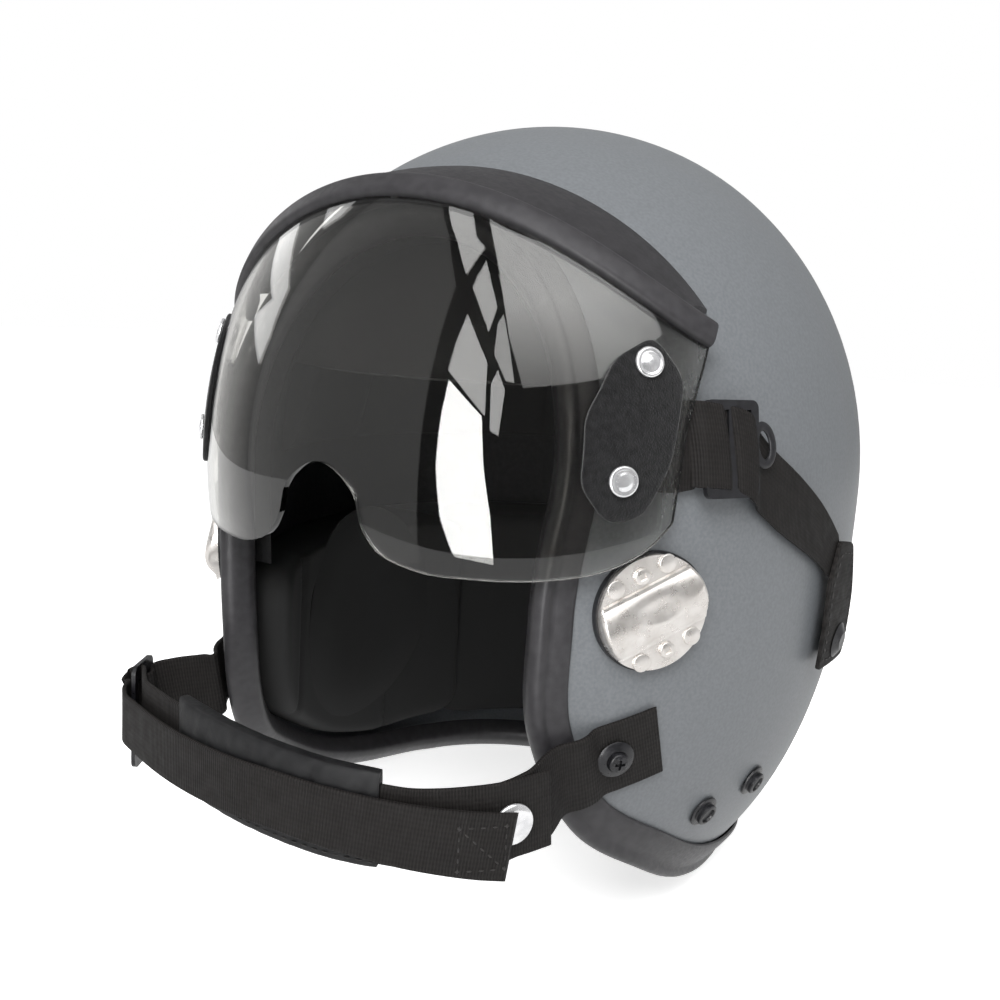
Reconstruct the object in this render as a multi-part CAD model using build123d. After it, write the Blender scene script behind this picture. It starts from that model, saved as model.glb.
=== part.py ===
"""Pilot flight helmet with a clear lift-up visor, mask receivers and a chin strap.

Millimetres. Z is up, the face looks along -Y and X is the wearer's left. The origin is on the
floor under the shell's middle, with the helmet standing on the lower edge of its shell.
"""

from build123d import *
import math
import os

os.makedirs("parts", exist_ok=True)

# Outside of the shell: half axes about its widest level and station
shell_half_width = 122
shell_front = 144
shell_rear = 123
crown_rise = 132.5
shell_drop = 178
widest_level = 152.8
widest_station = 14
shell_wall = 3
level_shares = (0, 0.05, 0.15, 0.28, 0.41, 0.54, 0.66, 0.77, 0.87, 0.95)
width_fullness = 2.4
front_fullness = 3.4
rear_fullness = 2.0

# Side view of the shell's edge, from the brow down round the cheek to the nape (station, level)
brow_top = (-84, 275)
brow_mid = (-91, 244)
temple = (-103.5, 180)
cheek_top = (-108.5, 120)
cheek_low = (-105, 84)
jaw = (-90, 54)
jaw_rear = (-60, 29.5)
lobe = (-34, 13.5)
nape_start = (-8, 5)
prism_reach = 200
prism_top = 330

# Rubber trim round the edge
trim_lip = 5
trim_proud = 2.4
trim_depth = 5.4
ridge_proud = 3.2
ridge_depth = 7
trim_band_front = 4.5
trim_band_low = 12
ridge_back = 1

# Liner and pads
bond_gap = 0.3
foam = 12
foam_floor = 118
foam_setback = 14
comfort_pad = 11
pad_setback = 9
pad_gap = 1
crown_pad_front = -52
brow_pad_floor = 196
brow_pad_side = 62
head_half_width = 77
head_half_length = 104
head_station = -12
pad_floor = 9
nape_pad_front = 55
ear_station = -14
ear_level = 80
ear_cup_half_length = 33
ear_cup_half_height = 36
ear_cup_wall = 2.5
ear_cup_depth = 14
ear_cup_outer = 96
ear_seal_thickness = 7
ear_seal_width = 7.5
ear_pocket_gap = 0.6

# Mask receiver on each cheek
receiver_station = -86
receiver_level = 125
receiver_radius = 19
receiver_tilt = 25
shim_lift = 1.2
plate_thickness = 1.4
plate_margin = 0.7
plate_notch = 5
cover_width = 19
cover_rise = 3.6
cover_bend = 5
dimple_radius = 11
dimple_depth = 1.1
rivet_radius = 3
rivet_rise = 0.9
rivet_run = 9.2
rivet_out = 13
receiver_screw_radius = 2.6
receiver_screw_rise = 1.2
receiver_shank_radius = 1.6
socket_size = 1.9
socket_depth = 0.7
receiver_nut_radius = 3.6
receiver_nut_thickness = 1.6
receiver_nut_drop = 1.6
thread_gap = 0.05
bore_gap = 0.15
pocket_gap = 1

# Visor lens: a surface turned about the hinge axis
visor_half_width = 122
visor_radius = 148
visor_station = 8
visor_level = 157.5
lens_wall = 2.2
lens_corner = (-71, 204)
lens_temple = (-79.5, 192)
lens_rear_mid = (-86, 170)
lens_rear_low = (-87.5, 156)
lens_rear_foot = (-86, 128)
brow_slope = 0.537
brow_bend_radius = 69.5
brow_span = 50
notch_top = 165.7
notch_side = (12.9, 157)
notch_waist = (15.6, 148)
notch_flare = (20.5, 141)
notch_foot = (31, 136.4)
lens_foot = (48, 135)
lens_foot_side = (66, 135.6)
lens_wing = (79, 138.6)
lens_corner_low = (87, 144)
lens_corner_side = (93, 153)
lens_corner_end = (97, 166)

# Rubber bead on the lens edge and the soft lip behind it
bead_proud = 2.6
bead_depth = 4.4
bead_overlap = 4
bead_height = 7
slot_gap = 0.05
lip_thickness = 2.2
lip_station = -65
lip_clearance = 0.8
lip_share_steps = (-1, -0.92, -0.75, -0.5, -0.25, 0, 0.25, 0.5, 0.75, 0.92, 1)
lip_half_span = 88
brow_steps = 10
halvings = 40

# Pile patch, snaps, tab and strap on each side of the visor
patch_thickness = 1.5
patch_outline = (
    (-89, 208),
    (-83.5, 196),
    (-90, 170),
    (-97, 155),
    (-105, 153),
    (-111, 164),
    (-109, 184),
    (-100, 201),
)
snap_places = ((-92.4, 200), (-102, 166))
snap_radius = 6
snap_rise = 1.6
snap_post_radius = 1.8
socket_radius = 4.2
socket_rise = 0.5
tab_thickness = 1.3
tab_outline = ((-98, 190), (-82, 189), (-80, 188), (-80, 163), (-86, 162), (-100, 163), (-104, 176))
snap_gap = 0.1
webbing = 1.5
strap_lift = 1.6
strap_upper = (
    (-79, 188.5),
    (-70, 187.5),
    (-60, 185),
    (-51, 176),
    (-35, 164.5),
    (-20, 154),
    (-6, 143),
)
strap_lower = (
    (2, 128),
    (-8, 128),
    (-19, 134),
    (-31, 140),
    (-44, 147),
    (-55, 154.5),
    (-66, 162),
    (-79, 163.5),
)
buckle_station = -67
buckle_level = 174.5
buckle_length = 21
buckle_height = 30
buckle_thickness = 2
buckle_bar = 3
buckle_lift = 3.6
buckle_corner = 2.5
keeper_outline = ((-12, 126), (-7, 141), (6, 139), (15, 120), (22, 94), (-7, 94))
keeper_lift = 3.5
keeper_snap_place = (6, 103)
keeper_snap_radius = 6.5
keeper_snap_rise = 2
keeper_post_radius = 2

# Chin tabs, screws and the strap between them
chin_station = -88.5
chin_level = 77.3
tab_clear = 0.3
tab_over_trim = 4.5
tab_rear_low = (-71.6, 68)
tab_rear_high = (-84.5, 95)
tab_front_high = (-108, 88)
tab_front_low = (-97, 55)
chin_webbing = 1.6
chin_width = 25
washer_radius = 6.2
washer_rise = 1.4
chin_head_radius = 3.4
chin_head_rise = 2.2
chin_shank_radius = 2
cross_length = 3.4
cross_width = 0.8
cross_depth = 1
tee_nut_radius = 7
tee_nut_thickness = 1.2
tee_barrel_radius = 3
chin_strap_level = 72
chin_strap_route = (
    (73, -116.5),
    (65, -130.5),
    (50, -144),
    (28, -154),
    (0, -158),
    (-30, -155),
    (-56, -147.5),
    (-73, -140),
    (-77.6, -136.8),
    (-80.1, -132.8),
)
left_tab_shares = (0.03, 0.07, 0.11, 0.15)
tab_leave_station = -97
right_tab_route = (
    (81.5, -114),
    (86.6, -120.1),
    (84.6, -124.4),
    (85.4, -126.9),
    (87.9, -126.2),
    (90.6, -121.7),
)
tab_drop = 16
tab_run = 56
sleeve_shares = (0.3, 0.74)
sleeve_thickness = 5.6
sleeve_height = 30
sleeve_level = 75
tail_gap = 0.5
tail_level = 65.5
tail_width = 23
tail_shares = (0.9, 0.13)
tail_steps = 10
tail_turn = (
    (-81.2, -131.9),
    (-82.6, -132.1),
    (-83.6, -133.2),
    (-83.4, -134.6),
    (-82, -138.8),
    (-78.2, -142.5),
)
ladder_centre = (-84, -129.5, 66)
ladder_turn = 118
ladder_width = 18
ladder_height = 37
ladder_thickness = 1.4
ladder_bar = 3
ladder_window = 26.4
ladder_hole_radius = 1.3
snap_share = 0.09
snap_level = 69
chin_snap_radius = 6.3
chin_snap_rise = 1.8

# Snap studs low on each side for a nape strap
stud_places = ((-44, 47), (-19, 52))
stud_base_radius = 6
stud_base_rise = 1
stud_radius = 4
stud_rise = 3.2
stud_post_radius = 1.8

full_turn = 360
half_turn = 180
quarter_turn = 90


def swell(share, fullness):
    """Share of a half axis that is left at a share of the way down."""
    return (1 - share**fullness) ** (1 / fullness)


def skin(lift):
    """Solid inside the shell's outside surface, raised by lift."""
    if lift in skins:
        return skins[lift]
    width = shell_half_width + lift
    front = shell_front + lift
    rear = shell_rear + lift
    drop = shell_drop + lift
    rise = crown_rise + lift
    quarter = Sphere(1, arc_size1=0, arc_size2=quarter_turn, arc_size3=half_turn, align=None)
    back_dome = scale(quarter, by=(width, rear, rise))
    front_dome = scale(Rot(0, 0, half_turn) * quarter, by=(width, front, rise))
    sections = []
    for share in level_shares:
        half = width * swell(share, width_fullness)
        front_half = front * swell(share, front_fullness)
        rear_half = rear * swell(share, rear_fullness)
        ahead = EllipticalCenterArc((0, 0), half, front_half, half_turn, arc_size=half_turn)
        behind = EllipticalCenterArc((0, 0), half, rear_half, 0, arc_size=half_turn)
        sections.append(Pos(0, 0, -share * drop) * make_face([ahead, behind]))
    skins[lift] = Pos(0, widest_station, widest_level) * (loft(sections) + back_dome + front_dome)
    return skins[lift]


def half_width(station, level, lift=0):
    """Half width of the shell's outside, raised by lift, at a station and a level."""
    run = station - widest_station
    rise = level - widest_level
    width = shell_half_width + lift
    depth = (shell_front if run < 0 else shell_rear) + lift
    if rise > 0:
        return width * math.sqrt(1 - (run / depth) ** 2 - (rise / (crown_rise + lift)) ** 2)
    share = -rise / (shell_drop + lift)
    width = width * swell(share, width_fullness)
    depth = depth * swell(share, front_fullness if run < 0 else rear_fullness)
    return width * math.sqrt(1 - (run / depth) ** 2)


def visor_half(station, level, lift=0):
    """Half width of the lens's outside, raised by lift, at a station and a level."""
    radius = math.hypot(station - visor_station, level - visor_level)
    return (visor_half_width + lift) * math.sqrt(max(0, 1 - (radius / (visor_radius + lift)) ** 2))


def wall_plane(width_at, station, level, lift=0):
    """Plane on the left wall, with its Z outward and its X to the rear."""
    step = shell_wall
    across = (width_at(station + step, level) - width_at(station - step, level)) / (2 * step)
    upward = (width_at(station, level + step) - width_at(station, level - step)) / (2 * step)
    outward = Vector(1, -across, -upward).normalized()
    point = Vector(width_at(station, level), station, level) + outward * lift
    return Plane(origin=point, x_dir=Vector(0, 0, 1).cross(outward), z_dir=outward)


def block_between(low, high):
    """Block between two opposite corners."""
    size = Vector(*high) - Vector(*low)
    return Pos(*low) * Box(*size, align=(Align.MIN, Align.MIN, Align.MIN))


def side_prism(outline):
    """Prism to the left of a side view outline of stations and levels."""
    face = Plane.YZ * make_face(Polyline(*outline, close=True))
    return extrude(face, amount=prism_reach)


def soft_prism(outline):
    """Prism to the left of a closed smooth side view outline."""
    face = Plane.YZ * make_face(Spline(*outline, periodic=True))
    return extrude(face, amount=prism_reach)


def edge_points(front_shift, low_shift):
    """Side view of the shell's edge, moved into the shell."""
    corners = (brow_top, brow_mid, temple, cheek_top, cheek_low, jaw, jaw_rear, lobe, nape_start)
    moved = []
    for index, corner in enumerate(corners):
        before = corners[max(index - 1, 0)]
        after = corners[min(index + 1, len(corners) - 1)]
        way = Vector(after[0] - before[0], after[1] - before[1]).normalized()
        shift = front_shift * way.Y**2 + low_shift * way.X**2
        if corner is nape_start:
            moved.append((corner[0], corner[1] + low_shift))
        else:
            moved.append((corner[0] - way.Y * shift, corner[1] + way.X * shift))
    return moved


def inside_edge(front_shift, low_shift):
    """Everything behind and above the shell's edge, moved into the shell."""
    points = edge_points(front_shift, low_shift)
    first, last = points[0], points[-1]
    down = Vector(points[1][0] - first[0], points[1][1] - first[1]).normalized()
    curve = Spline(*points, tangents=[(down.X, down.Y), (1, 0)])
    corner = (prism_reach, prism_top)
    frame = Polyline(last, (prism_reach, last[1]), corner, (first[0], prism_top), first)
    return extrude(Plane.YZ * make_face([curve, *frame.edges()]), amount=prism_reach, both=True)


def layer(outer, inner):
    """Skin between two lifts of the shell's outside."""
    return skin(outer) - skin(inner)


def shell_patch(prism, lift, thickness):
    """Thin piece that lies on the shell at a lift, inside a prism."""
    return (prism & skin(lift + thickness)) - skin(lift)


def visor_skin(lift):
    """Solid inside the lens's outside surface, raised by lift."""
    turned = Plane(origin=(0, visor_station, visor_level), x_dir=(1, 0, 0), z_dir=(0, -1, 0))
    half = visor_half_width + lift
    arc = EllipticalCenterArc((0, 0), half, visor_radius + lift, 0, arc_size=half_turn)
    profile = turned * make_face([arc, Line((-half, 0), (half, 0))])
    return revolve(profile, axis=Axis((0, visor_station, visor_level), (1, 0, 0)), revolution_arc=full_turn)


def visor_patch(prism, lift, thickness):
    """Thin piece that lies on the lens at a lift, inside a prism."""
    return (prism & visor_skin(lift + thickness)) - visor_skin(lift)


def brow_point(forward, shift=0):
    """Point of the lens's top edge in side view, at a distance ahead of its rear corner."""
    slope = brow_slope + 2 * forward / brow_bend_radius
    size = math.hypot(slope, 1)
    level = lens_corner[1] + brow_slope * forward + forward**2 / brow_bend_radius
    return lens_corner[0] - forward + shift * slope / size, level + shift / size


def under_brow(shift, rear):
    """Everything ahead of and below the lens's top edge, moved up by shift, with a rear outline."""
    edge = [brow_point(brow_span * step / brow_steps, shift) for step in range(brow_steps + 1)]
    curve = Spline(*edge)
    far = (-prism_reach, edge[-1][1])
    low = (-prism_reach, rear[-1][1])
    outline = [curve, Polyline(edge[-1], far, low, rear[-1]).wire(), Polyline(edge[0], *rear).wire()]
    edges = [part for piece in outline for part in piece.edges()]
    return extrude(Plane.YZ * make_face(edges), amount=prism_reach, both=True)


def turned_pin(plane, profile):
    """Round piece turned about the plane's Z from a profile of radii and heights."""
    radius, bottom = profile[0]
    outline = [(0, bottom), *profile, (0, profile[-1][1])]
    face = Plane.XZ * make_face(Polyline(*outline, close=True))
    return plane * revolve(face, axis=Axis.Z, revolution_arc=full_turn)


def disc(plane, radius, start, end):
    """Round plate on a plane between two heights."""
    return plane * Pos(0, 0, start) * extrude(Circle(radius), amount=end - start)


def ribbon(route, thickness, height, level):
    """Webbing on edge along a level route."""
    face = trace(route, thickness)
    return Pos(0, 0, level) * extrude(face, amount=height / 2, both=True)


def both_sides(name, piece):
    """Writes a left piece and its mirror image."""
    save(f"{name}_left", piece)
    save(f"{name}_right", mirror(piece, about=Plane.YZ))


def pair(piece):
    """A left piece and its mirror image as one group."""
    return Compound(children=[*piece.solids(), *mirror(piece, about=Plane.YZ).solids()])


def save(name, piece):
    """Writes one sub-part."""
    export_step(piece, f"parts/{name}.step")
    print(name, len(piece.solids()), round(piece.volume))


skins = {}
edge_side = inside_edge(0, 0)
receiver_plane = wall_plane(half_width, receiver_station, receiver_level)
bridge_plane = receiver_plane * Rot(0, 0, receiver_tilt)
chin_plane = wall_plane(half_width, chin_station, chin_level)
rivet_spots = [(run * rivet_run, side * rivet_out) for run in (-1, 1) for side in (-1, 1)]
screw_spots = [(0, side * rivet_out) for side in (-1, 1)]
spare = shell_wall * 4
washer_lift = 3 * tab_clear + chin_webbing


def make_shell():
    """Outer shell with its fastener holes."""
    shell = layer(0, -shell_wall) & edge_side
    for spot in screw_spots:
        hole = disc(bridge_plane * Pos(*spot), receiver_shank_radius + bore_gap, -spare, spare)
        shell = shell - hole - mirror(hole, about=Plane.YZ)
    hole = disc(chin_plane, tee_barrel_radius + bore_gap, -spare, spare)
    shell = shell - hole - mirror(hole, about=Plane.YZ)
    for place in stud_places:
        hole = disc(wall_plane(half_width, *place), stud_post_radius + bore_gap, -spare, spare)
        shell = shell - hole - mirror(hole, about=Plane.YZ)
    hole = disc(wall_plane(half_width, *keeper_snap_place), keeper_post_radius + bore_gap, -spare, spare)
    shell = shell - hole - mirror(hole, about=Plane.YZ)
    save("outer_shell", shell)


def make_trim():
    """Rubber trim that grips the whole edge of the shell."""
    outside = inside_edge(-trim_lip, -trim_lip)
    band = outside - inside_edge(trim_band_front, trim_band_low)
    ridge = outside - inside_edge(ridge_back, ridge_back)
    trim = (layer(trim_proud, -trim_depth) & band) + (layer(ridge_proud, -ridge_depth) & ridge)
    save("edge_trim", trim - (layer(0, -shell_wall) & edge_side))


def fastener_pockets():
    """Room in the pads behind every fastener that comes through the shell."""
    spots = [(chin_plane, tee_nut_radius), (wall_plane(half_width, *keeper_snap_place), keeper_snap_radius)]
    spots += [(bridge_plane * Pos(*spot, 0), receiver_nut_radius) for spot in screw_spots]
    spots += [(wall_plane(half_width, *place), stud_base_radius) for place in stud_places]
    holes = [disc(plane, radius + pocket_gap, -spare, spare) for plane, radius in spots]
    return [*holes, *[mirror(hole, about=Plane.YZ) for hole in holes]]


def make_liner():
    """Foam liner, crown pad and brow pad."""
    inner = -shell_wall - bond_gap
    block = inside_edge(foam_setback, foam_setback)
    above = block_between((-prism_reach, -prism_reach, foam_floor), (prism_reach, prism_reach, prism_top))
    liner = layer(inner, inner - foam) & block & above
    for pocket in fastener_pockets():
        liner = liner - pocket
    save("energy_liner", liner)
    start = inner - foam - bond_gap
    pad = layer(start, start - comfort_pad) & inside_edge(pad_setback, pad_setback) & above
    ahead = block_between((-prism_reach, -prism_reach, 0), (prism_reach, crown_pad_front, prism_top))
    save("crown_pad", pad - ahead)
    rear_corner = (brow_pad_side, crown_pad_front - pad_gap, prism_top)
    save("brow_pad", pad & block_between((-brow_pad_side, -prism_reach, brow_pad_floor), rear_corner))


def ear_oval(inset, start, end):
    """Oval block over the ear between two distances from the middle plane."""
    plane = Plane(origin=(start, ear_station, ear_level), x_dir=(0, 1, 0), z_dir=(1, 0, 0))
    oval = Ellipse(ear_cup_half_length - inset, ear_cup_half_height - inset)
    return plane * extrude(oval, amount=end - start)


def make_ear_pieces():
    """Ear pads, ear cups, ear seals and the nape pad that fill between shell and head."""
    inner = -shell_wall - bond_gap
    head = Pos(0, head_station, 0) * extrude(Ellipse(head_half_width, head_half_length), amount=prism_reach)
    top = foam_floor - pad_gap
    slab = block_between((-prism_reach, -prism_reach, pad_floor), (prism_reach, prism_reach, top))
    fill = ((skin(inner) & slab) - head) & inside_edge(pad_setback, trim_band_low + pad_gap)
    for hole in fastener_pockets():
        fill = fill - hole
    rear = block_between((-prism_reach, nape_pad_front, 0), (prism_reach, prism_reach, prism_top))
    save("nape_pad", fill & rear)
    ahead = block_between((0, -prism_reach, 0), (prism_reach, nape_pad_front - pad_gap, prism_top))
    pocket = ear_oval(-ear_pocket_gap, 0, ear_cup_outer + ear_pocket_gap)
    both_sides("ear_pad", (fill & ahead) - pocket)
    mouth = ear_cup_outer - ear_cup_depth
    bowl = ear_oval(ear_cup_wall, mouth, ear_cup_outer - ear_cup_wall)
    both_sides("ear_cup", ear_oval(0, mouth, ear_cup_outer) - bowl)
    start = mouth - ear_seal_thickness
    both_sides("ear_seal", ear_oval(0, start, mouth) - ear_oval(ear_seal_width, start, mouth))


def make_receivers():
    """Mask receivers: shim, plate, bridge cover, rivets and screws."""
    shank = receiver_shank_radius + bore_gap
    shim = disc(receiver_plane, receiver_radius, -spare, shim_lift) - skin(0)
    plate_radius = receiver_radius - plate_margin
    plate = Pos(0, 0, shim_lift) * extrude(Circle(plate_radius), amount=plate_thickness)
    notch_width = cover_width + plate_margin
    notch_place = Pos(plate_radius, 0, shim_lift + plate_thickness / 2)
    notch = notch_place * Box(plate_notch, notch_width, 2 * plate_thickness)
    plate = plate - notch
    top = shim_lift + plate_thickness
    outline = Circle(plate_radius) & Rectangle(2 * receiver_radius, cover_width)
    bar = Pos(0, 0, top) * extrude(outline, amount=cover_rise)
    bend_radius = cover_width / 2 + cover_bend
    arch = Rot(0, quarter_turn, 0) * Cylinder(bend_radius, 2 * receiver_radius)
    bar = bar & (Pos(0, 0, top + cover_rise - bend_radius) * arch)
    bowl = Pos(0, 0, top + cover_rise - dimple_depth + dimple_radius) * Sphere(dimple_radius)
    cover = bar - bowl
    screws = []
    nuts = []
    rivets = []
    for spot in screw_spots:
        hole = Pos(*spot, 0) * Cylinder(shank, 4 * spare)
        shim = shim - bridge_plane * hole
        plate = plate - hole
        nut_top = -shell_wall - receiver_nut_drop
        pin = turned_pin(
            bridge_plane * Pos(*spot, 0),
            [
                (receiver_shank_radius, nut_top - receiver_nut_thickness),
                (receiver_shank_radius, top),
                (receiver_screw_radius, top),
                (receiver_screw_radius, top + receiver_screw_rise),
            ],
        )
        place = bridge_plane * Pos(*spot)
        nut = disc(place, receiver_nut_radius, nut_top - receiver_nut_thickness, nut_top)
        nuts.append(nut - disc(place, receiver_shank_radius + thread_gap, -spare, spare))
        recess = Pos(*spot, top + receiver_screw_rise) * Box(socket_size, socket_size, 2 * socket_depth)
        screws.append(pin - bridge_plane * recess)
    for spot in rivet_spots:
        rivets.append(bridge_plane * Pos(*spot, top) * extrude(Circle(rivet_radius), amount=rivet_rise))
    both_sides("receiver_shim", shim)
    both_sides("receiver_plate", bridge_plane * plate)
    both_sides("receiver_cover", bridge_plane * cover)
    save("receiver_rivets", pair(Compound(children=rivets)))
    save("receiver_screws", pair(Compound(children=screws)))
    save("receiver_nuts", pair(Compound(children=nuts)))


def make_visor():
    """Lens, its rubber bead and the soft lip behind the bead."""
    rear = (lens_temple, lens_rear_mid, lens_rear_low, lens_rear_foot)
    half = (
        notch_side,
        notch_waist,
        notch_flare,
        notch_foot,
        lens_foot,
        lens_foot_side,
        lens_wing,
        lens_corner_low,
        lens_corner_side,
        lens_corner_end,
    )
    left_half = [(-x, z) for x, z in reversed(half)]
    lower = Spline(*left_half, (0, notch_top), *half)
    side_level = half[-1][1]
    corners = [(prism_reach, side_level), (prism_reach, prism_top)]
    corners += [(-prism_reach, prism_top), (-prism_reach, side_level)]
    high = Polyline(half[-1], *corners, left_half[0])
    front = extrude(Plane.XZ * make_face([lower, *high.edges()]), amount=prism_reach)
    outline = under_brow(0, rear)
    lens = ((visor_skin(0) & front) & outline) - visor_skin(-lens_wall)
    for place in snap_places:
        hole = disc(wall_plane(visor_half, *place), snap_post_radius + bore_gap, -spare, spare)
        lens = lens - hole - mirror(hole, about=Plane.YZ)
    save("visor_lens", lens)
    end = ((lens_corner[0], lens_corner[1] - bead_height),)
    band = under_brow(bead_height, end) - under_brow(-bead_overlap, end)
    ahead = block_between((-prism_reach, -prism_reach, 0), (prism_reach, lens_corner[0], prism_top))
    slot = (visor_skin(slot_gap) - visor_skin(-lens_wall - slot_gap)) & under_brow(slot_gap, rear)
    bead = ((visor_skin(bead_proud) & band) & ahead) - visor_skin(-bead_depth) - slot
    save("brow_bead", bead)
    sections = []
    for share in lip_share_steps:
        across = share * lip_half_span
        low, high_end = 0, brow_span
        for _ in range(halvings):
            middle = (low + high_end) / 2
            if visor_half(*brow_point(middle), -bead_depth / 2) > abs(across):
                low = middle
            else:
                high_end = middle
        front_low = brow_point(low, bead_height)
        front_high = brow_point(low, bead_height + lip_thickness)
        run = (lip_station - widest_station) / (shell_front + lip_clearance)
        side = across / (shell_half_width + lip_clearance)
        seat = widest_level + (crown_rise + lip_clearance) * math.sqrt(1 - run**2 - side**2)
        outline = (front_low, front_high, (lip_station, seat + lip_thickness), (lip_station, seat))
        sections.append(Plane.YZ.offset(across) * make_face(Polyline(*outline, close=True)))
    save("brow_lip", loft(sections))


def make_visor_sides():
    """Patches, snaps, tabs, straps, buckles and keepers on both sides of the visor."""
    patch = visor_patch(soft_prism(patch_outline), 0, patch_thickness)
    tab = visor_patch(side_prism(tab_outline), -lens_wall - tab_thickness, tab_thickness)
    caps = []
    sockets = []
    for place in snap_places:
        plane = wall_plane(visor_half, *place)
        hole = disc(plane, snap_post_radius + bore_gap, -spare, spare)
        patch = patch - hole
        cap = [
            (snap_post_radius, -lens_wall),
            (snap_post_radius, patch_thickness),
            (snap_radius, patch_thickness + snap_gap),
            (snap_radius, patch_thickness + snap_rise / 2),
            (snap_radius / 2, patch_thickness + snap_rise),
        ]
        caps.append(turned_pin(plane, cap))
        seat = -lens_wall - snap_gap
        sockets.append(disc(plane, socket_radius, seat - socket_rise, seat))
        tab = tab - disc(plane, socket_radius + bore_gap, -spare, spare)
    both_sides("side_patch", patch)
    both_sides("visor_tab", tab)
    save("visor_snap_caps", pair(Compound(children=caps)))
    save("visor_snap_sockets", pair(Compound(children=sockets)))
    both_sides("visor_strap", shell_patch(side_prism((*strap_upper, *strap_lower)), strap_lift, webbing))
    plane = wall_plane(half_width, buckle_station, buckle_level, buckle_lift)
    outer = RectangleRounded(buckle_length, buckle_height, buckle_corner)
    window = Rectangle((buckle_length - 3 * buckle_bar) / 2, buckle_height - 2 * buckle_bar)
    shift = (buckle_length - buckle_bar) / 4
    frame = outer - Pos(-shift, 0) * window - Pos(shift, 0) * window
    both_sides("visor_buckle", plane * extrude(frame, amount=buckle_thickness))
    keeper = shell_patch(side_prism(keeper_outline), keeper_lift, webbing)
    plane = wall_plane(half_width, *keeper_snap_place)
    both_sides("strap_keeper", keeper - disc(plane, keeper_post_radius + bore_gap, -spare, spare))
    top = keeper_lift + webbing
    rivet = turned_pin(
        plane,
        [
            (keeper_snap_radius, -shell_wall - bond_gap - snap_rise / 2),
            (keeper_snap_radius, -shell_wall - bond_gap),
            (keeper_post_radius, -shell_wall - bond_gap),
            (keeper_post_radius, 0),
            (keeper_snap_radius, bond_gap * 2),
            (keeper_snap_radius, keeper_lift - bond_gap),
            (keeper_post_radius, keeper_lift - bond_gap),
            (keeper_post_radius, top + bond_gap),
            (keeper_snap_radius, top + bond_gap),
            (keeper_snap_radius / 2, top + keeper_snap_rise),
        ],
    )
    save("keeper_snaps", pair(rivet))


def make_chin_fasteners():
    """Chin screws with their cup washers and tee nuts."""
    plane = chin_plane
    top = washer_lift
    washer = turned_pin(
        plane,
        [
            (chin_shank_radius + bore_gap, top),
            (washer_radius, top),
            (chin_head_radius + bore_gap, top + washer_rise),
            (chin_shank_radius + bore_gap, top + washer_rise),
        ],
    )
    washer = washer - disc(plane, chin_shank_radius + bore_gap, -spare, spare)
    save("cup_washers", pair(washer))
    head = top + washer_rise
    screw = turned_pin(
        plane,
        [
            (chin_shank_radius, -shell_wall - tee_nut_thickness),
            (chin_shank_radius, head),
            (chin_head_radius, head),
            (chin_head_radius, head + chin_head_rise / 3),
            (chin_head_radius / 2, head + chin_head_rise),
        ],
    )
    for turn in (0, quarter_turn):
        slot = Rot(0, 0, turn) * Box(cross_length, cross_width, 2 * cross_depth)
        screw = screw - plane * Pos(0, 0, head + chin_head_rise) * slot
    save("chin_screws", pair(screw))
    nut = turned_pin(
        plane,
        [
            (tee_nut_radius, -shell_wall - bond_gap - tee_nut_thickness),
            (tee_nut_radius, -shell_wall - bond_gap),
            (tee_barrel_radius, -shell_wall - bond_gap),
            (tee_barrel_radius, -bond_gap),
        ],
    )
    save("tee_nuts", pair(nut - disc(plane, chin_shank_radius + thread_gap, -spare, spare)))


def tab_level(station):
    """Level of a chin tab's centre line at a station."""
    return chin_level + (station - chin_station) * tab_drop / tab_run


def chin_tab(route):
    """Left webbing tab from its chin screw, up over the trim and on in the air along a route."""
    prism = side_prism((tab_rear_low, tab_rear_high, tab_front_high, tab_front_low))
    front = trim_band_front + 2 * tab_clear
    low = trim_band_low + 2 * tab_clear
    behind = inside_edge(front, low)
    wall_side = inside_edge(front + chin_webbing, low + chin_webbing)
    flat = shell_patch(prism & behind, tab_clear, chin_webbing)
    step = (prism & behind & skin(tab_over_trim + chin_webbing)) - skin(tab_clear) - wall_side
    over = shell_patch(prism - behind, tab_over_trim, chin_webbing)
    tab = flat + step + over - disc(chin_plane, chin_shank_radius + bore_gap, -spare, spare)
    tab = tab - disc(chin_plane, washer_radius + bore_gap, washer_lift - tab_clear, spare)
    middle = tab_over_trim + chin_webbing / 2
    wall = wall_plane(half_width, tab_leave_station, tab_level(tab_leave_station), middle)
    first = Vector(*route[0], tab_level(route[0][1]))
    onward = Vector(route[1][0] - route[0][0], route[1][1] - route[0][1], 0)
    leaning = Plane(origin=wall.origin, x_dir=wall.z_dir, z_dir=first - wall.origin)
    upright = Plane(origin=first, x_dir=(-onward.Y, onward.X, 0), z_dir=onward)
    section = Rectangle(chin_webbing, chin_width)
    twist = loft([leaning * section, upright * section], ruled=True)
    front = chin_station - tab_run
    half = chin_width / 2
    corners = ((chin_station, half), (front, half), (front, -half), (chin_station, -half))
    band = side_prism([(station, tab_level(station) + rise) for station, rise in corners])
    free = ribbon(Spline(*route), chin_webbing, 2 * chin_width, chin_level) & band
    return tab + twist + free


def beside(line, share, distance):
    """Point beside a line, towards the wearer for a positive distance."""
    point = line @ share
    way = line % share
    return (point.X + way.Y * distance, point.Y - way.X * distance)


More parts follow.
